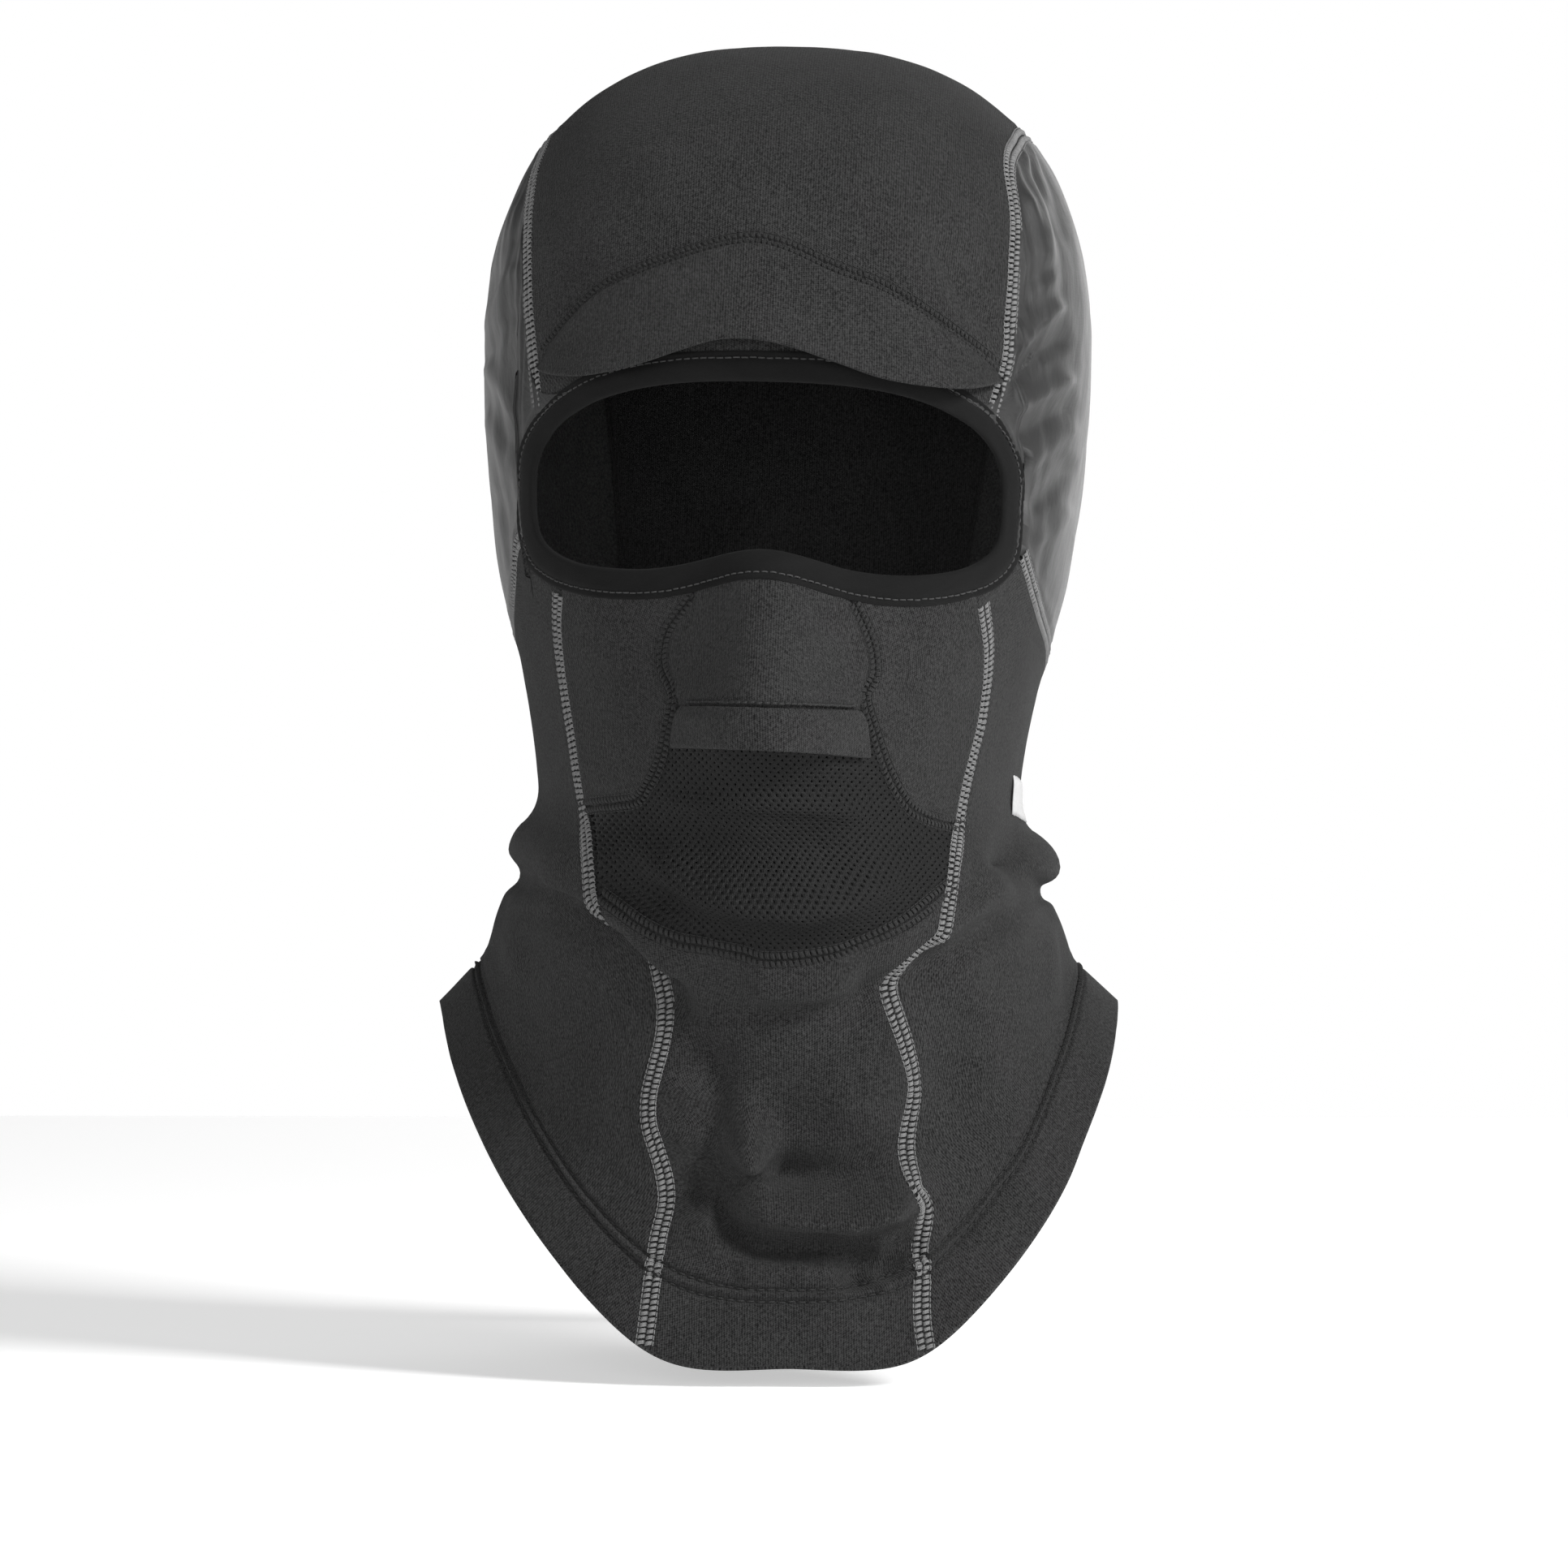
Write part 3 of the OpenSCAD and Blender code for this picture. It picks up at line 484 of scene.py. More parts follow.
def make(name, co, quads, uv=None, mats=(), index=None):
    """A mesh object from points in millimetres and quads, with smooth shading."""
    mesh = bpy.data.meshes.new(name)
    co = np.asarray(co, float).reshape(-1, 3)
    quads = np.asarray(quads, int).reshape(-1, 4)
    mesh.vertices.add(len(co))
    mesh.vertices.foreach_set("co", (co * MM).ravel())
    mesh.loops.add(len(quads) * 4)
    mesh.loops.foreach_set("vertex_index", quads.ravel())
    mesh.polygons.add(len(quads))
    mesh.polygons.foreach_set("loop_start", np.arange(0, len(quads) * 4, 4))
    mesh.polygons.foreach_set("use_smooth", np.ones(len(quads), bool))
    if index is not None:
        mesh.polygons.foreach_set("material_index", np.asarray(index, int))
    if uv is not None:
        layer = mesh.uv_layers.new(name="weave")
        layer.data.foreach_set("uv", np.asarray(uv, float).reshape(-1, 2)[quads.ravel()].ravel())
    mesh.update(calc_edges=True)
    mesh.validate()
    obj = bpy.data.objects.new(name, mesh)
    bpy.context.scene.collection.objects.link(obj)
    for m in mats:
        mesh.materials.append(m)
    return obj


def grid_quads(m, n, base=0, flip=False, loop=False):
    i, j = np.meshgrid(np.arange(m - 1), np.arange(n if loop else n - 1), indexing="ij")
    k, nxt = base + i * n + j, base + i * n + (j + 1) % n
    q = np.stack([k, nxt, nxt + n, k + n], -1).reshape(-1, 4)
    return q[:, ::-1] if flip else q


def grid_normals(p, outward, loop=False):
    """Normals of a grid of points, on the side of the outward vector at most of the points."""
    wide = np.concatenate([p[:, -1:], p, p[:, :1]], 1) if loop else p
    across = np.gradient(wide, axis=1)
    n = unit(np.cross(np.gradient(p, axis=0), across[:, 1:-1] if loop else across))
    return n if np.sum(n * outward) > 0 else -n


def run(p, axis):
    """Distance run along a grid's axis."""
    step = np.linalg.norm(np.diff(p, axis=axis), axis=-1)
    return np.concatenate([np.zeros_like(np.take(step, [0], axis)), np.cumsum(step, axis)], axis)


def rims(p, loop):
    """The grid's edge as lists of point numbers with the direction that leads off the grid at each."""
    m, n = p.shape[:2]
    ids = np.arange(m * n).reshape(m, n)
    off_top, off_low = unit(p[0] - p[1]), unit(p[-1] - p[-2])
    if loop:
        return [(ids[0], off_top), (ids[-1][::-1], off_low[::-1])]
    off_left, off_right = unit(p[:, 0] - p[:, 1]), unit(p[:, -1] - p[:, -2])
    edge = np.concatenate([ids[0, :-1], ids[:-1, -1], ids[-1, :0:-1], ids[:0:-1, 0]])
    off = np.concatenate([off_top[:-1], off_right[:-1], off_low[:0:-1], off_left[:0:-1]])
    return [(edge, off)]


def cloth(name, p, outward, thick, mats, dips=(), dip=0.75, loop=False):
    """Closed sheet of fabric from a grid of outer points, with round edges, sunk at the seams in dips."""
    m, n = p.shape[:2]
    normal = grid_normals(p, outward, loop)
    down, across = run(p, 0), run(p, 1)
    gaps = {"top": down, "bottom": down[-1:] - down, "left": across, "right": across[:, -1:] - across}
    sink = sum((dip * np.exp(-gaps[side] / 1.1) for side in dips), 0 * down)
    swell = sum((0.25 * bell(gaps[side], 3.4, 1.8) for side in dips), 0 * down)
    top = (p + normal * (swell - sink)[..., None]).reshape(-1, 3)
    low = (p - normal * (thick + 0.4 * sink)[..., None]).reshape(-1, 3)
    uv = np.stack([across - across[:, [n // 2]], down[:, [n // 2]] + 0 * across], -1).reshape(-1, 2)
    co, uvs, base = [top, low], [uv, uv], 2 * m * n
    faces = [grid_quads(m, n, loop=loop), grid_quads(m, n, m * n, flip=True, loop=loop)]
    for edge, off in rims(p, loop):
        k = base + np.arange(len(edge))
        kn, nxt = np.roll(k, -1), np.roll(edge, -1)
        co.append((top[edge] + low[edge]) / 2 + off * thick * 0.3)
        uvs.append(uv[edge])
        faces.append(np.stack([nxt, edge, k, kn], -1))
        faces.append(np.stack([kn, k, m * n + edge, m * n + nxt], -1))
        base += len(edge)
    co, faces = np.concatenate(co), np.concatenate(faces)
    if volume(co, faces) < 0:
        faces = faces[:, ::-1]
    return make(name, co, faces, np.concatenate(uvs), mats)


def volume(co, quads):
    a, b, c, d = (co[quads[:, k]] for k in range(4))
    return np.sum(a * np.cross(b, c)) + np.sum(a * np.cross(c, d))


def tubes(paths, ups, radius, sides=6):
    """Points and quads of many tubes with the same number of path points, with closed ends."""
    k, s = paths.shape[:2]
    tangent = unit(np.gradient(paths, axis=1))
    across = unit(np.cross(tangent, ups))
    up = np.cross(across, tangent)
    turn = np.arange(sides) * 2 * math.pi / sides
    radius = np.broadcast_to(radius, (k, s))[:, :, None, None]
    ring = np.cos(turn)[:, None] * across[:, :, None] + np.sin(turn)[:, None] * up[:, :, None]
    co = paths[:, :, None] + ring * radius
    i, j, t = np.meshgrid(np.arange(k), np.arange(s - 1), np.arange(sides), indexing="ij")
    here, there = (i * s + j) * sides, (i * s + j + 1) * sides
    t2 = (t + 1) % sides
    quads = np.stack([here + t, here + t2, there + t2, there + t], -1).reshape(-1, 4)
    caps = []
    for c in range(sides // 2 - 1):
        first = np.arange(k) * s * sides
        last = first + (s - 1) * sides
        caps.append(np.stack([first, first + 2 * c + 3, first + 2 * c + 2, first + 2 * c + 1], -1))
        caps.append(np.stack([last, last + 2 * c + 1, last + 2 * c + 2, last + 2 * c + 3], -1))
    length = run(paths, 1)
    shape = (k, s, sides)
    uv = np.stack([np.broadcast_to(turn, shape), np.broadcast_to(length[:, :, None], shape)], -1)
    return co.reshape(-1, 3), np.concatenate([quads] + caps), uv.reshape(-1, 2)


def joined(parts):
    """Several (points, quads, uv) as one."""
    base, co, quads, uv = 0, [], [], []
    for c, q, w in parts:
        co.append(c)
        quads.append(q + base)
        uv.append(w)
        base += len(c)
    return np.concatenate(co), np.concatenate(quads), np.concatenate(uv), [len(q) for _, q, _ in parts]


# ---- Stitches ----

def track(a, e, pitch, out=0.0):
    """Evenly spaced points on a line of the surface, with tangents, normals and cross directions."""
    p, n = worn_normal(a, e)
    d = np.concatenate([[0], np.cumsum(np.linalg.norm(np.diff(p, axis=0), axis=1))])
    count = max(int(round(d[-1] / pitch)), 4)
    s = (np.arange(count) + 0.5) * d[-1] / count
    p = np.stack([np.interp(s, d, p[:, k]) for k in range(3)], -1)
    n = unit(np.stack([np.interp(s, d, n[:, k]) for k in range(3)], -1))
    t = unit(np.gradient(p, axis=0))
    n = unit(n - np.sum(n * t, -1, keepdims=True) * t)
    return p + n * out, t, n, np.cross(t, n)


def flatlock(name, a, e, width, yarn):
    """Flat seam over two butted panels: a ribbon, two columns of thread bundles and two edge rows."""
    pitch, slant = 1.5, 0.22
    p, t, n, s = track(a, e, pitch)
    k = len(p)
    parts = []
    # ribbon that closes the butt joint, and shows on the inside too
    profile = np.array([[-0.52, -0.42], [0.52, -0.42], [0.52, -FLEECE_T - 0.25], [-0.52, -FLEECE_T - 0.25]])
    ribbon = p[:, None] + profile[:, :1] * width * s[:, None] + profile[:, 1:] * n[:, None]
    i, c = np.meshgrid(np.arange(k - 1), np.arange(4), indexing="ij")
    c2 = (c + 1) % 4
    q = np.stack([i * 4 + c, i * 4 + c2, (i + 1) * 4 + c2, (i + 1) * 4 + c], -1).reshape(-1, 4)
    ends = np.array([[0, 3, 2, 1], [k * 4 - 4, k * 4 - 3, k * 4 - 2, k * 4 - 1]])
    q = np.concatenate([q, ends])
    if volume(ribbon.reshape(-1, 3), q) < 0:
        q = q[:, ::-1]
    long = np.repeat(np.cumsum(np.full(k, pitch))[:, None], 4, 1)
    uv = np.stack([profile[:, 0] * width + 0 * long, long], -1).reshape(-1, 2)
    parts.append((ribbon.reshape(-1, 3), q, uv))
    bend = np.array([-1.0, -0.6, 0.0, 0.6, 1.0])
    rise = np.array([-0.25, 0.2, 0.42, 0.2, -0.25])
    for column in (-1, 1):
        for strand in (-1, 0, 1):
            along = strand * 0.3 + slant * bend[None] + rng.normal(0, 0.04, (k, 1))
            high = rise[None] + rng.normal(0, 0.03, (k, 1)) - 0.08 * abs(strand)
            path = (p[:, None] + s[:, None] * (width * (0.245 * column + 0.2 * bend))[None, :, None]
                    + t[:, None] * along[..., None] + n[:, None] * high[..., None])
            parts.append(tubes(path, n[:, None] + 0 * path, 0.2))
    arch = np.array([-0.3, 0.12, 0.2, 0.12, -0.3])
    for edge in (-0.5, 0.5):
        path = (p[:, None] + s[:, None] * (width * edge + 0 * bend)[None, :, None]
                + t[:, None] * (bend * pitch * 0.44)[None, :, None] + n[:, None] * arch[None, :, None])
        parts.append(tubes(path, n[:, None] + 0 * path, 0.15))
    co, quads, uv, counts = joined(parts)
    index = np.concatenate([np.zeros(counts[0], int), np.ones(sum(counts[1:]), int)])
    slot = "light_thread" if yarn == LIGHT else "dark_thread"
    place(make(name, co, quads, uv, [FLEECE, yarn], index), slot, name)


def topstitch(name, a, e, yarn, pitch, radius, lift):
    """Row of single stitches that dip into the fabric at both ends."""
    bend = np.array([-1.0, -0.7, 0.0, 0.7, 1.0])
    arch = np.array([-0.45, 0.05, 0.22, 0.05, -0.45])
    p, t, n, s = track(a, e, pitch, lift)
    sway = rng.normal(0, 0.05, (len(p), 1, 1))
    path = (p[:, None] + t[:, None] * (bend * pitch * 0.4)[None, :, None] + s[:, None] * sway
            + n[:, None] * arch[None, :, None])
    co, quads, uv = tubes(path, n[:, None] + 0 * path, radius)
    place(make(name, co, quads, uv, [yarn]), "dark_thread", name)


# ---- Materials ----

def material(name, colour, roughness, sheen=0.0, specular=0.3, sheen_rough=0.5):
    mat = bpy.data.materials.new(name)
    mat.use_nodes = True
    shader = mat.node_tree.nodes["Principled BSDF"]
    shader.inputs["Base Color"].default_value = (*colour, 1)
    shader.inputs["Roughness"].default_value = roughness
    shader.inputs["Specular IOR Level"].default_value = specular
    shader.inputs["Sheen Weight"].default_value = sheen
    shader.inputs["Sheen Roughness"].default_value = sheen_rough
    return mat


class Nodes:
    """Short calls that add shader nodes to a material."""

    def __init__(self, mat):
        self.tree = mat.node_tree
        self.shader = self.tree.nodes["Principled BSDF"]

    def add(self, kind, **values):
        node = self.tree.nodes.new("ShaderNode" + kind)
        for key, value in values.items():
            if key in node.inputs:
                node.inputs[key].default_value = value
            else:
                setattr(node, key, value)
        return node

    def link(self, out, node, socket):
        self.tree.links.new(out, node.inputs[socket])

    def math(self, operation, a, b=0.0, clamp=False):
        node = self.add("Math", operation=operation, use_clamp=clamp)
        for k, value in enumerate((a, b)):
            if isinstance(value, (int, float)):
                node.inputs[k].default_value = value
            else:
                self.link(value, node, k)
        return node.outputs[0]

    def weave(self):
        """The fabric's own coordinates in millimetres: across, down."""
        uv = self.add("UVMap", uv_map="weave")
        split = self.add("SeparateXYZ")
        self.link(uv.outputs["UV"], split, "Vector")
        return uv.outputs["UV"], split.outputs["X"], split.outputs["Y"]

    def noise(self, vector, scale, detail=2.0, stretch=None):
        if stretch:
            mapping = self.add("Mapping")
            mapping.inputs["Scale"].default_value = stretch
            self.link(vector, mapping, "Vector")
            vector = mapping.outputs["Vector"]
        node = self.add("TexNoise", Scale=scale, Detail=detail)
        self.link(vector, node, "Vector")
        return node.outputs["Fac"]

    def place(self):
        """Position on the object in metres."""
        return self.add("TexCoord").outputs["Object"]

    def wave(self, across, pitch):
        """Wave from 0 to 1 with a pitch."""
        sine = self.math("SINE", self.math("MULTIPLY", across, 2 * math.pi / pitch))
        return self.math("ADD", self.math("MULTIPLY", sine, 0.5), 0.5)

    def tint(self, factor, dark, light):
        mix = self.add("Mix", data_type="RGBA")
        mix.inputs["A"].default_value = (*dark, 1)
        mix.inputs["B"].default_value = (*light, 1)
        self.link(factor, mix, "Factor")
        return mix.outputs["Result"]

    def finish(self, colour, height, depth):
        """Joins the colour, and a height that stands for depth in millimetres, to the shader."""
        self.link(colour, self.shader, "Base Color")
        bump = self.add("Bump", Distance=depth * MM, Strength=1.0)
        self.link(height, bump, "Height")
        self.link(bump.outputs["Normal"], self.shader, "Normal")


def grey(value):
    return (value, value, value)


def knit(name, tone, pitch=0.66, speckle=0.62, relief_mm=0.17, **finish):
    """Brushed stretch knit: fine ribs with loops along them, a heathered face and slow changes of tone."""
    mat = material(name, grey(tone), **finish)
    n = Nodes(mat)
    uv, across, down = n.weave()
    wander = n.math("MULTIPLY", n.noise(uv, 0.9, 1.0), 0.35)
    u = n.math("ADD", across, wander)
    ribs = n.wave(u, pitch)
    loops = n.wave(n.math("ADD", down, n.math("MULTIPLY", u, 0.5)), pitch * 0.8)
    fuzz = n.math("ADD", n.math("MULTIPLY", n.noise(n.place(), 1500.0, 3.0), 3.6), -1.3)
    slow = n.noise(uv, 0.045, 2.0)
    height = n.math("ADD", n.math("MULTIPLY", ribs, 0.6), n.math("MULTIPLY", loops, 0.4))
    height = n.math("ADD", height, n.math("MULTIPLY", fuzz, 0.8))
    shade = n.math("ADD", n.math("MULTIPLY", height, speckle), n.math("MULTIPLY", slow, 0.35))
    shade = n.math("SUBTRACT", shade, 0.25, clamp=True)
    n.finish(n.tint(shade, grey(tone * 0.15), grey(tone * 1.9)), height, relief_mm)
    return mat


def shell_fabric(name, tone):
    """Smooth windproof fabric with a very fine plain weave and crushed creases."""
    mat = material(name, grey(tone), 0.44, sheen=0.02, specular=0.27)
    n = Nodes(mat)
    uv, across, down = n.weave()
    weave = n.math("MULTIPLY", n.wave(across, 0.32), n.wave(down, 0.32))
    crease = n.noise(uv, 0.13, 3.0, stretch=(1.0, 0.5, 1.0))
    slow = n.noise(uv, 0.03, 1.0)
    height = n.math("ADD", n.math("MULTIPLY", weave, 0.10), n.math("MULTIPLY", crease, 1.6))
    shade = n.math("ADD", n.math("MULTIPLY", weave, 0.35), n.math("MULTIPLY", slow, 0.65), clamp=True)
    n.finish(n.tint(shade, grey(tone * 0.85), grey(tone * 1.15)), height, 0.3)
    return mat


def thread(name, dark, light, roughness=0.6, sheen=0.04):
    """Spun polyester thread with twist and a change of tone from stitch to stitch."""
    mat = material(name, grey(light), roughness, sheen=sheen, specular=0.25)
    n = Nodes(mat)
    _, around, along = n.weave()
    twist = n.wave(n.math("ADD", n.math("MULTIPLY", around, 0.11), along), 0.35)
    patch = n.noise(n.place(), 900.0, 2.0)
    shade = n.math("ADD", n.math("MULTIPLY", twist, 0.35), n.math("MULTIPLY", patch, 0.75), clamp=True)
    n.finish(n.tint(shade, grey(dark), grey(light)), twist, 0.05)
    return mat


def pile(name, tone, speckle=0.6):
    """Matt binding jersey with a suede-like face and a few lighter fibre ends."""
    mat = material(name, grey(tone), 0.92, sheen=0.02, specular=0.06, sheen_rough=0.6)
    n = Nodes(mat)
    uv = n.weave()[0]
    fuzz = n.noise(uv, 2.6, 3.0)
    ends = n.math("GREATER_THAN", n.noise(uv, 3.4, 1.0), 0.71)
    slow = n.noise(uv, 0.12, 2.0)
    shade = n.math("ADD", n.math("MULTIPLY", fuzz, speckle), n.math("MULTIPLY", slow, 0.4))
    shade = n.math("ADD", shade, n.math("MULTIPLY", ends, 0.9), clamp=True)
    n.finish(n.tint(shade, grey(tone * 0.5), grey(tone * 1.9)), fuzz, 0.12)
    return mat


FLEECE = knit("fleece", 0.0172, roughness=0.9, sheen=0.035, specular=0.12)
INNER = knit("lining", 0.03, pitch=0.9, roughness=0.95, sheen=0.04, specular=0.1)
SHELL = shell_fabric("windproof", 0.0175)
BINDING = pile("binding", 0.0048)
MESH = knit(
    "mesh", 0.0042, pitch=0.45, speckle=0.5, relief_mm=0.08, roughness=0.65, sheen=0.012, specular=0.18)
LIGHT = thread("light_thread", 0.06, 0.19)
DARK = thread("dark_thread", 0.004, 0.016)
DULL = thread("dull_thread", 0.012, 0.045)
HEM_THREAD = thread("hem_thread", 0.004, 0.013)
WHITE = thread("badge", 0.32, 0.52, 0.5, 0.05)
LABEL = shell_fabric("label", 0.02)
INSERT = material("insert", grey(0.3), 0.5)


# ---- Pieces ----

def place(obj, slot, *nodes, flat=None, area=None, held="stretched", rests_on=(), body="hood"):
    """Slot, replaced nodes, cut size in millimetres and body of a piece."""
    # """Names a piece after its first node, hides the nodes it replaces and attaches it to its body. The
    # slot is not used, and the cut size, turned to metres, goes no further."""
    obj.name = nodes[0] + "_detail"
    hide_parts(*nodes)
    if body:
        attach(obj, body)
    if flat:
        flat = tuple(side * MM for side in flat)


def fleece_panel(name, a, e, flat, area, end):
    """Panel on the worn surface, sewn at its sides and at one end."""
    obj = cloth(name, worn(a, e), body_normal(a, e), FLEECE_T, [FLEECE], ("left", "right", end))
    place(obj, "fleece", name, flat=flat, area=area)


def chain(*spans):
    """Values over several spans of (first, last, count) that share their ends."""
    parts = [np.linspace(*span) for span in spans]
    return np.concatenate([part[:-1] for part in parts[:-1]] + parts[-1:])


def hem_rows(start, count):
    """Levels from start down to the hem, close together at the needle rows."""
    first, last = HEM + HEM_W + 2.5, HEM + HEM_W - HEM_GAP - 2.5
    return chain((start, first, count), (first, last, 30), (last, HEM, 16))


def panel_rows(upper, level, lower):
    """Row numbers from 0 at a panel's top edge to 1 at a level and 2 at the hem."""
    below = 1 + (level - hem_rows(level, lower)) / (level - HEM)
    return np.concatenate([np.linspace(0, 1, upper)[:-1], below])[:, None]


def crown_panel():
    u = np.linspace(-1, 1, 95)[None, :]
    i = chain((0, 3, 16), (3, 21, 216), (21, 30, 66))[:, None]
    first = rim_top(u * 57, TRIM_W - TUCK) - DOME_Z
    behind = lerp(BACK, NAPE - GAP, (i - 21) / 9)
    q = np.where(i < 3, lerp(first, 0, i / 3), np.where(i < 21, (i - 3) * 10, behind))
    seam_q = np.maximum(q, -18)
    half = np.where(u < 0, at(CROWN_SEAM[-1], seam_q), at(CROWN_SEAM[1], seam_q)) - GAP
    a, e = crown_at(u * half, q)
    fleece_panel("crown_panel", a, e, (126, 400), 47900, "bottom")


def side_grid(s, cols, rows):
    u = np.linspace(-0.02, 0.985, cols)[None, :]
    v = np.linspace(0, 1, rows)[:, None]
    turn = lerp(41, -26, np.minimum(u, 0.14) / 0.14)
    rim_a, rim_e = rim_at(turn if s > 0 else 180 - turn, TRIM_W - TUCK)
    jaw_a = lerp(53.5, 141, (np.maximum(u, 0.14) - 0.14) / 0.86)
    low_a = np.where(u < 0.14, s * rim_a, jaw_a)
    low_e = np.where(u < 0.14, rim_e, at(JAW_SEAM[s], jaw_a) + 0.6 - DOME_Z)
    q = lerp(-15, NAPE - 2, u)
    top_a, top_e = crown_at(at(CROWN_SEAM[s], q) + 0.4, q)
    return s * lerp(top_a, low_a, v), lerp(top_e, low_e, v)


def puckers(p, s):
    """Gathers that run from the crown seam into the side panel, and the drag lines beside the eye."""
    along, deep = run(p, 1), run(p, 0)
    along = along[:1] + 0 * deep
    side = run(p, 0)[-1:] - deep
    away = (1 - np.exp(-deep / 2.0)) * (1 - np.exp(-side / 2.5))
    strength = 0.45 + 0.55 * noise(np.stack([along, 0 * along, 0 * along], -1), 31)
    strength = strength * (1.0 if s > 0 else 0.75)
    slant = along + 0.25 * deep * lerp(1, -0.3, smooth(along, 80, 160))
    wobble = 2.4 * noise(np.stack([along, deep, 0 * deep + 7 * s], -1), 13)
    gather = np.sin((slant + wobble) * 2 * math.pi / 12.5) * np.exp(-deep / 18) * 0.8
    fine = np.sin((slant - wobble) * 2 * math.pi / 6.4) * np.exp(-deep / 6) * 0.3
    crush = 0.7 * noise(np.stack([slant * 0.9, deep * 0.45, 0 * deep + 3 * s], -1), 15)
    pulls = sum(fold(p, line, (0.9 if s > 0 else 0.45) * height, 2.8, 1.7) for line, height in PULLS[s])
    pulls = pulls * smooth(deep, 0.5, 5) * smooth(side, 2, 11) * smooth(p[..., 1], 12, -32)
    return away * (strength * (gather + fine) + crush) + pulls


def side_panel(s, word):
    a, e = side_grid(s, 270, 92)
    p = worn(a, e)
    p = p + body_normal(a, e) * puckers(p, s)[..., None]
    obj = cloth("side_panel_" + word, p, body_normal(a, e), 0.5, [SHELL], ("top", "bottom"), dip=0.5)
    place(obj, "windproof", "side_panel_" + word, flat=(390, 110), area=19450)
    a, e = side_grid(s, 110, 40)
    p = worn(a, e, -1.9)
    obj = cloth("side_lining_" + word, p, body_normal(a, e), 0.8, [INNER])
    place(obj, "lining", "side_lining_" + word, flat=(386, 108), area=19090)


NECK_CORNER = 0.1
NECK_BREAK, THROAT_BREAK = -56, -120


def neck_side(s, word):
    u = np.linspace(0, 1, 118)[None, :]
    row = panel_rows(36, NECK_BREAK, 120)
    turn = lerp(-45, -25, np.minimum(u, NECK_CORNER) / NECK_CORNER)
    rim_a, rim_e = rim_at(turn if s > 0 else 180 - turn, TRIM_W - TUCK)
    jaw_a = lerp(53, 141, (np.maximum(u, NECK_CORNER) - NECK_CORNER) / (1 - NECK_CORNER))
    top_a = np.where(u < NECK_CORNER, s * rim_a, jaw_a)
    top = np.where(u < NECK_CORNER, rim_e + DOME_Z, at(JAW_SEAM[s], jaw_a) - 0.6)
    level = np.where(row < 1, lerp(top, NECK_BREAK, row), lerp(NECK_BREAK, HEM, row - 1))
    near = front_at(at(FRONT_SEAM[s], np.minimum(level, -17)) + GAP, level)[0]
    low = np.minimum(level, -42)
    far = back_at(at(BACK_SEAM, low) + GAP, low)[0]
    a = s * lerp(top_a, lerp(near, far, u), smooth(row, 0, 0.6))
    e = level - DOME_Z
    fleece_panel("neck_side_" + word, a, e, (170, 195), 21440, "top")


def back_neck_panel():
    u = np.linspace(-1, 1, 86)[None, :]
    level = hem_rows(-42 - GAP, 112)[:, None]
    a, e = back_at(u * (at(BACK_SEAM, level) - GAP), level)
    fleece_panel("back_neck_panel", a, e, (104, 155), 13820, "top")


def throat_panel():
    u = np.linspace(-1, 1, 88)[None, :]
    row = panel_rows(12, THROAT_BREAK, 84)
    start = at(MESH_SEAM, u * 45.5) - GAP
    level = np.where(row < 1, lerp(start, THROAT_BREAK, row), lerp(THROAT_BREAK, HEM, row - 1))
    half = np.where(u < 0, at(FRONT_SEAM[-1], level), at(FRONT_SEAM[1], level)) - GAP
    half = lerp(45.2, half, smooth(row, 0, 0.15))
    a, e = front_at(u * half, level)
    fleece_panel("throat_panel", a, e, (92, 106), 7570, "top")


def hem_facing():
    """The hem's allowance: it rolls under the panels' lower edge and runs up inside them."""
    a = np.linspace(-180, 180, 420, endpoint=False)[None, :]
    climb = np.concatenate([[-0.1, 0.25, 0.6], np.linspace(1.4, HEM_W - 1, 16)])
    inset = np.concatenate([[1.15, 1.6, 1.85], np.full(16, 2.0)])
    level, out = HEM + climb[::-1, None], -inset[::-1, None]
    p = worn(a, level - DOME_Z, out + 0 * a)
    obj = cloth("hem_facing", p, -body_normal(a, level - DOME_Z), -FLEECE_T, [INNER], loop=True)
    place(obj, "fleece", "hem_facing", flat=(555, 20), area=10200, held="folded")


def cheek_panel(s, word):
    v = np.linspace(0, 1, 74)[:, None]
    x0 = np.linspace(20.5, 53, 46)[None, :]
    level = lerp(rim_low(s * x0, TRIM_W - TUCK), CHEEK_SEAM[s][0, 0] + 0.9, v)
    near = at(CHEEK_SEAM[s], level) + GAP
    far = at(FRONT_SEAM[s], np.minimum(level, -15)) - GAP
    a, e = front_at(s * lerp(near, far, (x0 - 20.5) / 32.5), level)
    fleece_panel("cheek_panel_" + word, a, e, (42, 62), 2055, "bottom")


FLAP_LEVEL = -46.0


def nose_panel():
    v = np.linspace(0, 1, 46)[:, None]
    u = np.linspace(-1, 1, 72)[None, :]
    level = lerp(rim_low(u * 20, TRIM_W - TUCK), FLAP_LEVEL, v)
    half = np.where(u < 0, at(CHEEK_SEAM[-1], level), at(CHEEK_SEAM[1], level)) - GAP
    a, e = front_at(u * half, level)
    fleece_panel("nose_panel", a, e, (62, 42), 2050, "bottom")


def mesh_edges(x):
    """Upper and lower level of the mesh at x. In the middle its top is hidden behind the nose flap."""
    top = np.zeros_like(x)
    for s in (-1, 1):
        level = np.linspace(-49, CHEEK_SEAM[s][0, 0], 200)
        half = at(CHEEK_SEAM[s], level)
        top = np.where(s * x >= 0, np.interp(np.abs(x), half, level), top)
    behind_flap = np.abs(x) < 25.5
    return np.where(behind_flap, FLAP_LEVEL - 0.6, np.minimum(top, -49)), at(MESH_SEAM, x)


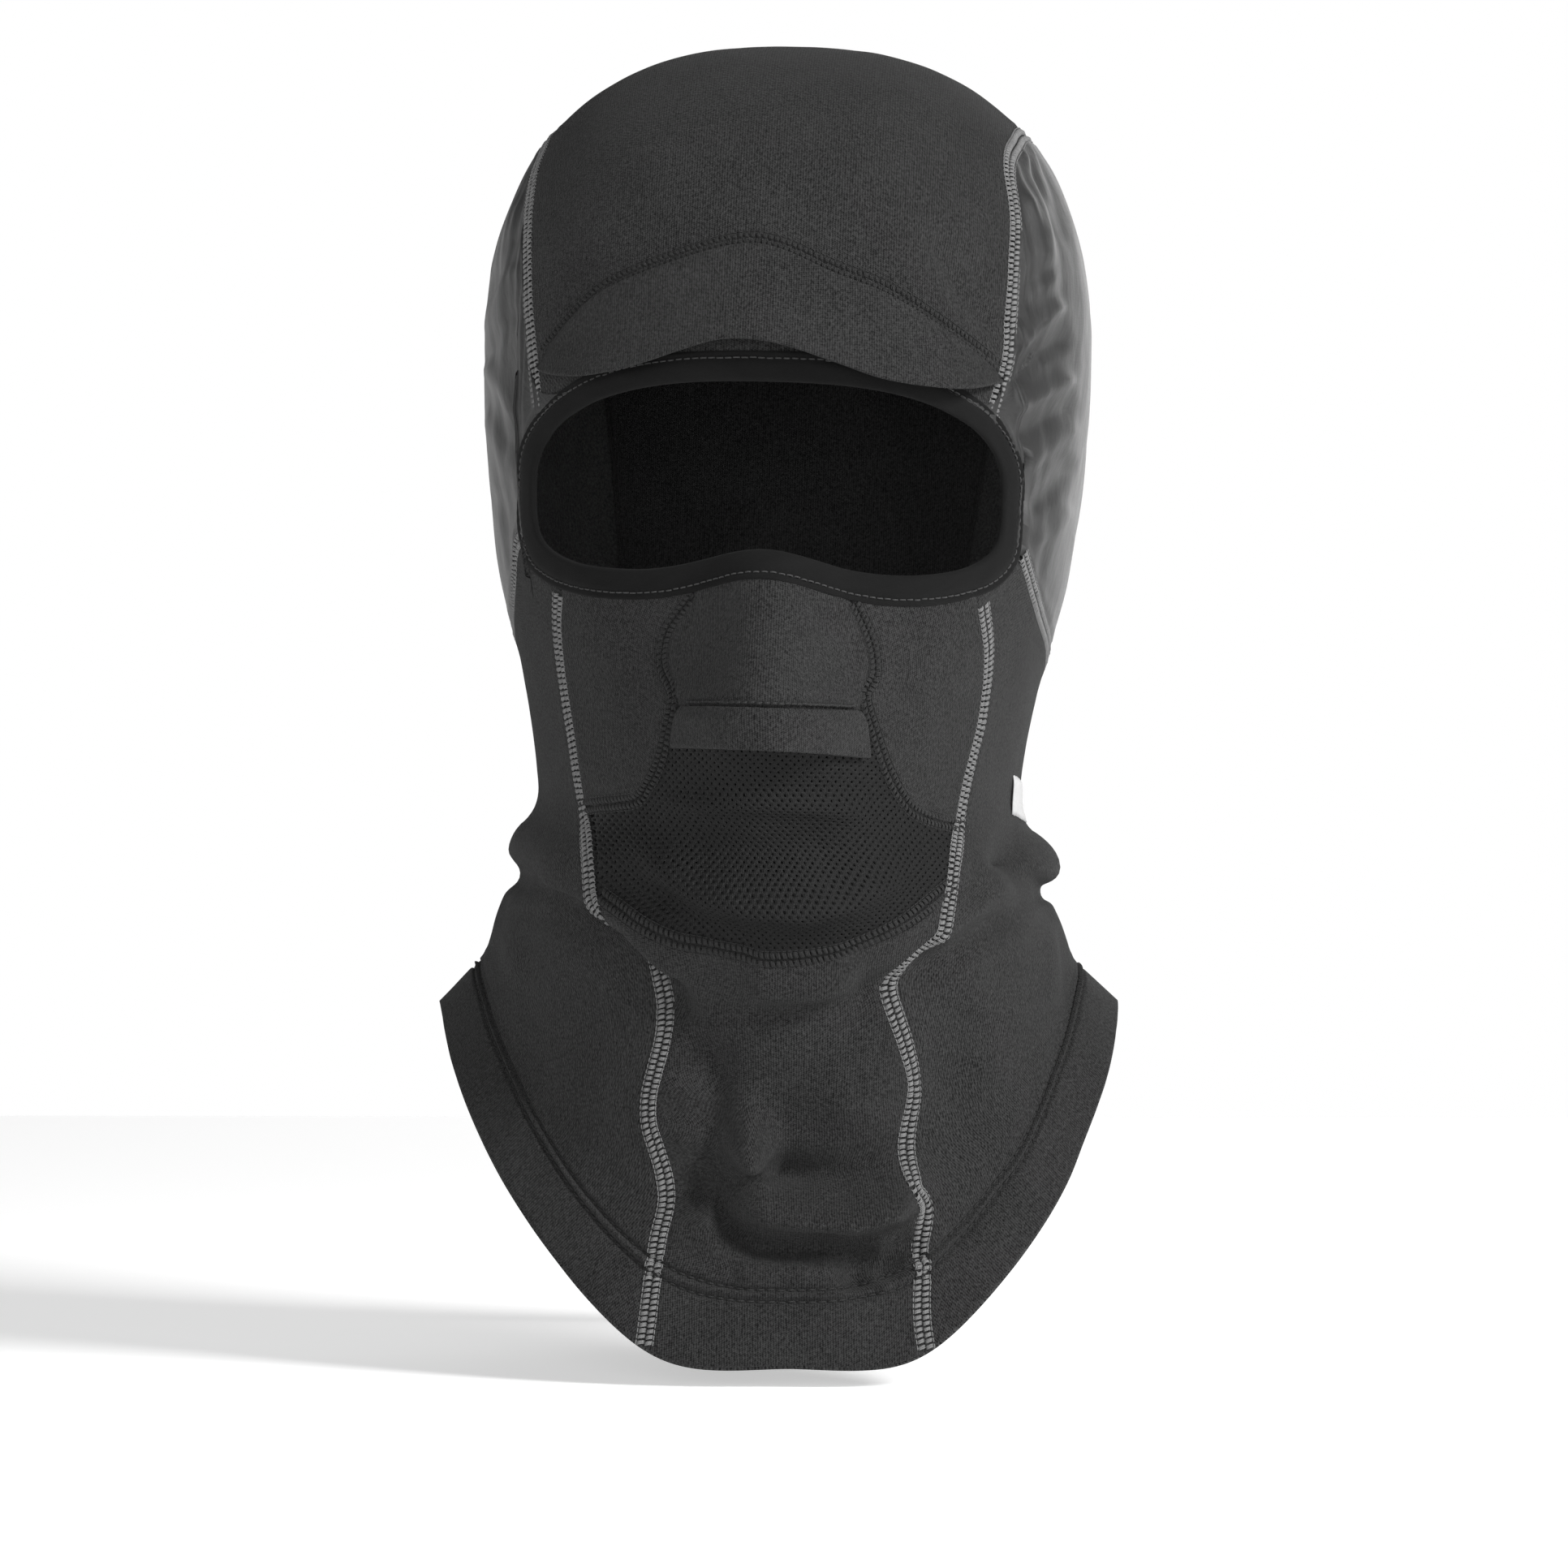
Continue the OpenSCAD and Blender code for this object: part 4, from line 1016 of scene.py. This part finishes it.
def mouth_mesh():
    """Warp-knit mesh: a honeycomb of yarn round staggered holes."""
    wide, tall, thick = 2.0, 1.0, 0.55
    cols, rows = 50, 70
    c, r = np.meshgrid(np.arange(cols), np.arange(rows), indexing="ij")
    x = (c - cols / 2 + 0.5 * (r % 2)) * wide
    z = FLAP_LEVEL - r * tall
    high, low = mesh_edges(x)
    keep = (z < high + 0.6) & (z > low - 0.6) & (np.abs(x) < 46)
    x, z = x[keep], z[keep]
    # corners of each cell, numbered so that neighbours share them
    corner = np.array([[0.5, -1 / 3], [0.5, 1 / 3], [0, 2 / 3], [-0.5, 1 / 3], [-0.5, -1 / 3], [0, -2 / 3]])
    cx = x[:, None] + corner[:, 0] * wide
    cz = z[:, None] + corner[:, 1] * tall
    key = np.stack([np.round(cx * 2 / wide), np.round((cz - FLAP_LEVEL) * 6 / tall)], -1).astype(int)
    key, ids = np.unique(key.reshape(-1, 2), axis=0, return_inverse=True)
    ids = ids.reshape(-1, 6)
    shared_x, shared_z = key[:, 0] * wide / 2, key[:, 1] * tall / 6 + FLAP_LEVEL
    hole_x = x[:, None] + corner[:, 0] * wide * 0.24 * rng.uniform(0.8, 1.15, (len(x), 1))
    hole_z = z[:, None] + corner[:, 1] * tall * 0.50 * rng.uniform(0.85, 1.1, (len(x), 1))
    flat_x = np.concatenate([shared_x, hole_x.ravel()])
    flat_z = np.concatenate([shared_z, hole_z.ravel()])
    a, e = front_at(flat_x, flat_z)
    top, n = worn_normal(a, e)
    count, holes = len(flat_x), len(shared_x) + np.arange(len(x) * 6).reshape(-1, 6)
    top = top + n * np.where(np.arange(count) < len(shared_x), 0.03, -0.05)[:, None]
    co = np.concatenate([top, top - n * thick])
    nxt, hole_nxt = np.roll(ids, -1, 1), np.roll(holes, -1, 1)
    front = np.stack([ids, nxt, hole_nxt, holes], -1).reshape(-1, 4)
    walls = np.stack([holes, hole_nxt, hole_nxt + count, holes + count], -1).reshape(-1, 4)
    rear = front[:, ::-1] + count
    # sides of cells that no neighbour shares
    edges = np.stack([ids, nxt], -1).reshape(-1, 2)
    plain = np.sort(edges, 1)
    _, first, times = np.unique(plain, axis=0, return_index=True, return_counts=True)
    edge = edges[first[times == 1]]
    outer = np.stack([edge[:, 1], edge[:, 0], edge[:, 0] + count, edge[:, 1] + count], -1)
    quads = np.concatenate([front, walls, rear, outer])
    if volume(co, quads) < 0:
        quads = quads[:, ::-1]
    uv = np.tile(np.stack([flat_x, flat_z], -1), (2, 1))
    obj = make("mouth_mesh", co, quads, uv, [MESH])
    place(obj, "mesh", "mouth_mesh", flat=(100, 66), area=5540)


def face_trim():
    """Binding: one strip of jersey that folds round the opening's edge, open side outwards."""
    turn = np.linspace(0, 360, 560, endpoint=False)[None, :]
    face = np.linspace(TRIM_W - 0.3, 1.3, 15)
    bend = np.radians(np.linspace(0, 180, 9)[1:-1])
    half = 1.05
    off = np.concatenate([face, 1.3 - 1.25 * np.sin(bend), face[::-1]])
    high = np.concatenate([np.zeros(15), half * (np.cos(bend) - 1), np.full(15, -2 * half)]) + 0.55
    high[:15] += 0.28 * np.sin(math.pi * np.clip((face - 1.3) / (TRIM_W - 2.4), 0, 1))
    high[:15] -= 0.42 * bell(face, 6.0, 0.8)
    high[0] -= 0.25
    a, e = rim_at(turn, off[:, None])
    p = worn(a, e, high[:, None] + 0 * turn)
    length = run(p, 1)[0][None, :]
    ripple = 0.09 * np.cos(length * 2 * math.pi / 2.2) * np.exp(-(((off - 6.2) / 1.6) ** 2))[:, None]
    soft = 0.3 * noise(np.stack([length + 0 * p[..., 0], 0 * p[..., 0], off[:, None] + 0 * length], -1), 9)
    n = body_normal(a, e)
    p = p + n * (ripple + soft * (high > -1)[:, None])[..., None]
    outward = n * np.where(np.arange(len(off)) < 15, 1, -0.2)[:, None, None]
    obj = cloth("face_trim", p, outward, 0.75, [BINDING], loop=True)
    place(obj, "binding", "face_trim", flat=(330, 18), area=5600, held="folded",
          rests_on=["crown_panel"])


# ---- Peak ----

def unroll(rows):
    """A seam drawn as worn, turned back to the upright head."""
    x, z = rows[:, 0], rows[:, 1]
    return np.stack([x * math.cos(LEAN) - z * math.sin(LEAN), z * math.cos(LEAN) + x * math.sin(LEAN)], -1)


ARCH, EDGE = unroll(PEAK_ARCH), unroll(PEAK_EDGE)
PEAK_RIGHT, PEAK_LEFT = -60.2, 56.2
PEAK_ROOM, PEAK_LIFT = 0.8, 7.0


def peak_point(u, v, out):
    """Point of the peak at u across and v down, out over its underside."""
    x = lerp(PEAK_RIGHT, PEAK_LEFT, (u + 1) / 2) + 0 * v
    start = at(ARCH, x) - 2.3
    z = lerp(start, np.minimum(at(EDGE, x), start - 0.6), np.minimum(v, 1))
    a, e = forehead_at(x, z)
    ends = 1 - 0.85 * np.abs(u) ** 9
    lift = PEAK_ROOM + PEAK_LIFT * np.minimum(v, 1) ** 2 * (1 - 0.6 * u * u) * ends
    return worn(a, e, lift + out * ends)


def peak_grid(high, fold_r, back, rows, cols=120):
    """Layer of the peak whose free edge folds round to the underside and runs back up."""
    u = np.linspace(-1, 1, cols)[None, :]
    v = np.linspace(0, 1, rows)[:, None]
    front = peak_point(u, v, high + 0 * v)
    if not fold_r:
        return front
    down = unit(front[-1] - front[-4])
    under = peak_point(u, np.array([[1.0]]), np.array([[high - 2 * fold_r]]))[0]
    out = (front[-1] - under) / 2
    middle = (front[-1] + under) / 2
    turns = np.radians(np.linspace(0, 180, 9))[1:-1, None, None]
    bend = middle + out * np.cos(turns) + down * np.linalg.norm(out, axis=-1)[:, None] * np.sin(turns)
    w = np.linspace(1, 1 - back, 6)[:, None]
    return np.concatenate([front, bend, peak_point(u, w, high - 2 * fold_r + 0 * w)])


def blend_peak(obj):
    """Bakes the piece's placement into its mesh."""
    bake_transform(obj)


def peak():
    out = np.array([0, -0.8, 0.6])
    top = 3.4
    p = peak_grid(top, 1.25, 0.28, 40)
    facing = out * np.where(np.arange(len(p)) < 40, 1, -0.3)[:, None, None]
    obj = cloth("peak_outer", p, facing, 0.9, [FLEECE], ("top",), dip=0.6)
    place(obj, "fleece", "peak_outer", flat=(126, 44), area=3300, held="folded", body=None)
    blend_peak(obj)
    u = np.linspace(-0.95, 0.95, 100)[None, :]
    v = np.linspace(0, 0.9, 30)[:, None]
    obj = cloth("peak_lining", peak_point(u, v, 0.9 + 0 * v), out, 0.8, [INNER])
    place(obj, "lining", "peak_lining", flat=(120, 36), area=2410, body=None)
    blend_peak(obj)
    v = np.linspace(0.05, 0.93, 24)[:, None]
    obj = cloth("peak_insert", peak_point(u * 0.8, v, 1.65 + 0 * v), out, 0.6, [INSERT])
    place(obj, "insert", "peak_insert", body=None)
    blend_peak(obj)


# ---- Nose flap ----

FLAP_LEN, FLAP_HALF, FLAP_SHIFT = 10.3, 22.6, 1.7


def nose_flap():
    """Folded end of the nose piece: two layers that hang from the stitch line, joined at the lower fold."""
    u = np.linspace(-1, 1, 80)[None, :]
    half = 0.85
    fall = np.concatenate([np.linspace(0, 1, 20), np.full(5, 1.0), np.linspace(1, 0.12, 14)])[:, None]
    turn = np.radians(np.concatenate([np.zeros(20), np.linspace(30, 150, 5), np.full(14, 180)]))[:, None]
    off = 1.5 + half * np.cos(turn) + 0.9 * np.sin(np.clip(fall, 0, 1) * math.pi * 0.6) * (1 - u**4)
    drop = fall * (FLAP_LEN + 0.7 * u - 0.5 * (1 - u * u)) + half * np.sin(turn)
    a, e = front_at(FLAP_SHIFT + u * (FLAP_HALF - 1.6 * np.exp(-fall * 3)), FLAP_LEVEL - 0.2)
    base, n = worn_normal(a, e)
    wave = 0.45 * np.sin(u * 5.2 + 0.6) * fall + 0.25 * np.sin(u * 13 + 1) * fall
    n = unit(n * [1, 1, 0.25])
    p = base + n * (off + wave)[..., None]
    p = p - np.stack([-0.04 * drop * u, -0.05 * drop, drop], -1)
    facing = n * np.where(np.arange(len(fall)) < 20, 1, -0.2)[:, None, None]
    obj = cloth("nose_flap", p, facing, 0.75, [FLEECE], ("top",), dip=0.5)
    place(obj, "fleece", "nose_flap", flat=(76, 24), area=1750, held="folded", body=None)
    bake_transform(obj)


# ---- Seams and details ----

def seams():
    for s, word in ((1, "left"), (-1, "right")):
        q = chain((-19, 0, 30), (0, BACK, 500), (BACK, NAPE, 160))
        a, e = crown_at(at(CROWN_SEAM[s], q), q)
        flatlock("crown_seam_" + word, s * a, e, 4.6, LIGHT)
        a = np.linspace(52.6, 141.5, 300)
        flatlock("jaw_seam_" + word, s * a, at(JAW_SEAM[s], a) - DOME_Z, 4.4, LIGHT)
        level = np.linspace(-18, HEM, 500)
        a, e = front_at(s * at(FRONT_SEAM[s], level), level)
        flatlock("front_seam_" + word, a, e, 4.4, LIGHT)
        level = np.linspace(-43, HEM, 500)
        a, e = back_at(s * at(BACK_SEAM, level), level)
        flatlock("back_seam_" + word, a, e, 4.6, LIGHT)
        last = CHEEK_SEAM[s][0, 0] + 0.05
        level = np.concatenate([np.linspace(-19, last + 8, 160)[:-1], np.linspace(last + 8, last, 160)])
        a, e = front_at(s * at(CHEEK_SEAM[s], level), level)
        flatlock("cheek_seam_" + word, a, e, 4.2, DARK)
    x = np.linspace(-44, 44, 300)
    flatlock("nape_seam", *back_at(x, -42.0), 4.6, LIGHT)
    a, e = front_at(x, at(MESH_SEAM, x))
    flatlock("mesh_seam", a, e, 4.8, DARK)
    x = np.linspace(-60.5, 56.4, 400)
    a, e = forehead_at(x, at(ARCH, x))
    flatlock("peak_seam", a, e, 3.8, DARK)
    x = FLAP_SHIFT + np.linspace(-1, 1, 120) * (FLAP_HALF - 1.8)
    topstitch("nose_flap_stitch", *front_at(x, FLAP_LEVEL + 1 + 0 * x), DARK, 1.9, 0.42, 0.1)
    turn = np.linspace(0, 360, 700)
    topstitch("trim_stitch", *rim_at(turn, 6.0), DULL, 2.1, 0.2, 0.42)
    turn = np.linspace(-180, 180, 900)
    for word, level in (("upper", HEM + HEM_W), ("lower", HEM + HEM_W - HEM_GAP)):
        topstitch("hem_stitch_" + word, turn, level - DOME_Z + 0 * turn, HEM_THREAD, 2.6, 0.34, 0.12)


def badge():
    """Small plain bar of satin stitch."""
    count = 46
    a = np.linspace(71, 86, count)[:, None]
    v = np.linspace(-1, 1, 9)[None, :]
    level = -67 + 5 * v - 0.12 * (a - 78) + rng.normal(0, 0.08, (count, 1))
    p, n = worn_normal(a + 0 * v, level - DOME_Z)
    p = p + n * (0.1 + 0.65 * np.sqrt(1 - 0.98 * v**2))[..., None]
    co, quads, uv = tubes(p, n, 0.24)
    place(make("neck_badge", co, quads, uv, [WHITE]), "badge", "neck_badge")


def care_label():
    u = np.linspace(-1, 1, 30)[None, :]
    v = np.linspace(0, 1, 26)[:, None]
    a, e = back_at(u * 14, -50 - 24 * v)
    p = worn(a, e, -FLEECE_T - 0.35 - 0.5 * np.sin(v * math.pi) ** 2)
    obj = cloth("care_label", p, -body_normal(a, e), -0.3, [LABEL])
    place(obj, "label", "care_label", flat=(28, 24), held="hung")


# ---- Camera, stage and light ----

FLOOR_SIDE = 2.8
FLOOR_GLOW = 0.45
SKY = 0.12
LENS, CAMERA_FAR, CAMERA_TURN, CAMERA_Z = 164.0, 1.885, math.radians(2), -0.065
AIM = (0, 0, -0.03)
# name, place in metres, side in metres, power in watts
LIGHTS = [
    ("key", (1.85, -1.5, 1.1), 0.7, 92),
    ("front", (-0.1, -2.2, 0.0), 1.2, 38),
    ("back", (0.7, 2.4, 0.7), 1.8, 17),
]


def floor_material():
    mat = material("floor", grey(0.85), 0.9)
    shader = mat.node_tree.nodes["Principled BSDF"]
    shader.inputs["Emission Color"].default_value = (1, 1, 1, 1)
    shader.inputs["Emission Strength"].default_value = FLOOR_GLOW
    return mat


def camera():
    data = bpy.data.cameras.new("camera")
    data.sensor_width, data.lens = 36, LENS
    obj = bpy.data.objects.new("camera", data)
    obj.location = (CAMERA_FAR * math.sin(CAMERA_TURN), -CAMERA_FAR * math.cos(CAMERA_TURN), CAMERA_Z)
    obj.rotation_euler = (math.pi / 2, 0, CAMERA_TURN)
    bpy.context.scene.collection.objects.link(obj)
    bpy.context.scene.camera = obj


def floor():
    corners = np.array([[-1, -1, 0], [1, -1, 0], [1, 1, 0], [-1, 1, 0]]) * FLOOR_SIDE / 2 / MM
    under = [0, 0, CAD_LOW[2] / MM - 4]
    make("floor", corners + under, [[0, 1, 2, 3]], None, [floor_material()])


def lights():
    for name, where, size, power in LIGHTS:
        light = bpy.data.lights.new(name, "AREA")
        light.shape, light.size, light.energy = "SQUARE", size, power
        obj = bpy.data.objects.new(name, light)
        obj.location = where
        aim = np.array(AIM) - where
        obj.rotation_euler = (math.atan2(np.hypot(aim[0], aim[1]), -aim[2]), 0, math.atan2(-aim[0], aim[1]))
        bpy.context.scene.collection.objects.link(obj)


def surroundings():
    """White round the horizon, and a dimmer sky over it."""
    world = bpy.data.worlds.new("world")
    world.use_nodes = True
    tree = world.node_tree
    sky = tree.nodes.new("ShaderNodeTexCoord")
    split = tree.nodes.new("ShaderNodeSeparateXYZ")
    dim = tree.nodes.new("ShaderNodeMapRange")
    tree.links.new(sky.outputs["Generated"], split.inputs["Vector"])
    tree.links.new(split.outputs["Z"], dim.inputs["Value"])
    for key, value in (("From Min", 0.12), ("From Max", 0.24), ("To Min", 1.0), ("To Max", SKY)):
        dim.inputs[key].default_value = value
    tree.links.new(dim.outputs["Result"], tree.nodes["Background"].inputs["Strength"])
    tree.nodes["Background"].inputs["Color"].default_value = (1, 1, 1, 1)
    bpy.context.scene.world = world
    bpy.context.scene.view_settings.view_transform = "Standard"


camera()
floor()
lights()
surroundings()
crown_panel()
side_panel(1, "left")
side_panel(-1, "right")
neck_side(1, "left")
neck_side(-1, "right")
back_neck_panel()
throat_panel()
hem_facing()
cheek_panel(1, "left")
cheek_panel(-1, "right")
nose_panel()
mouth_mesh()
face_trim()
peak()
nose_flap()
seams()
badge()
care_label()
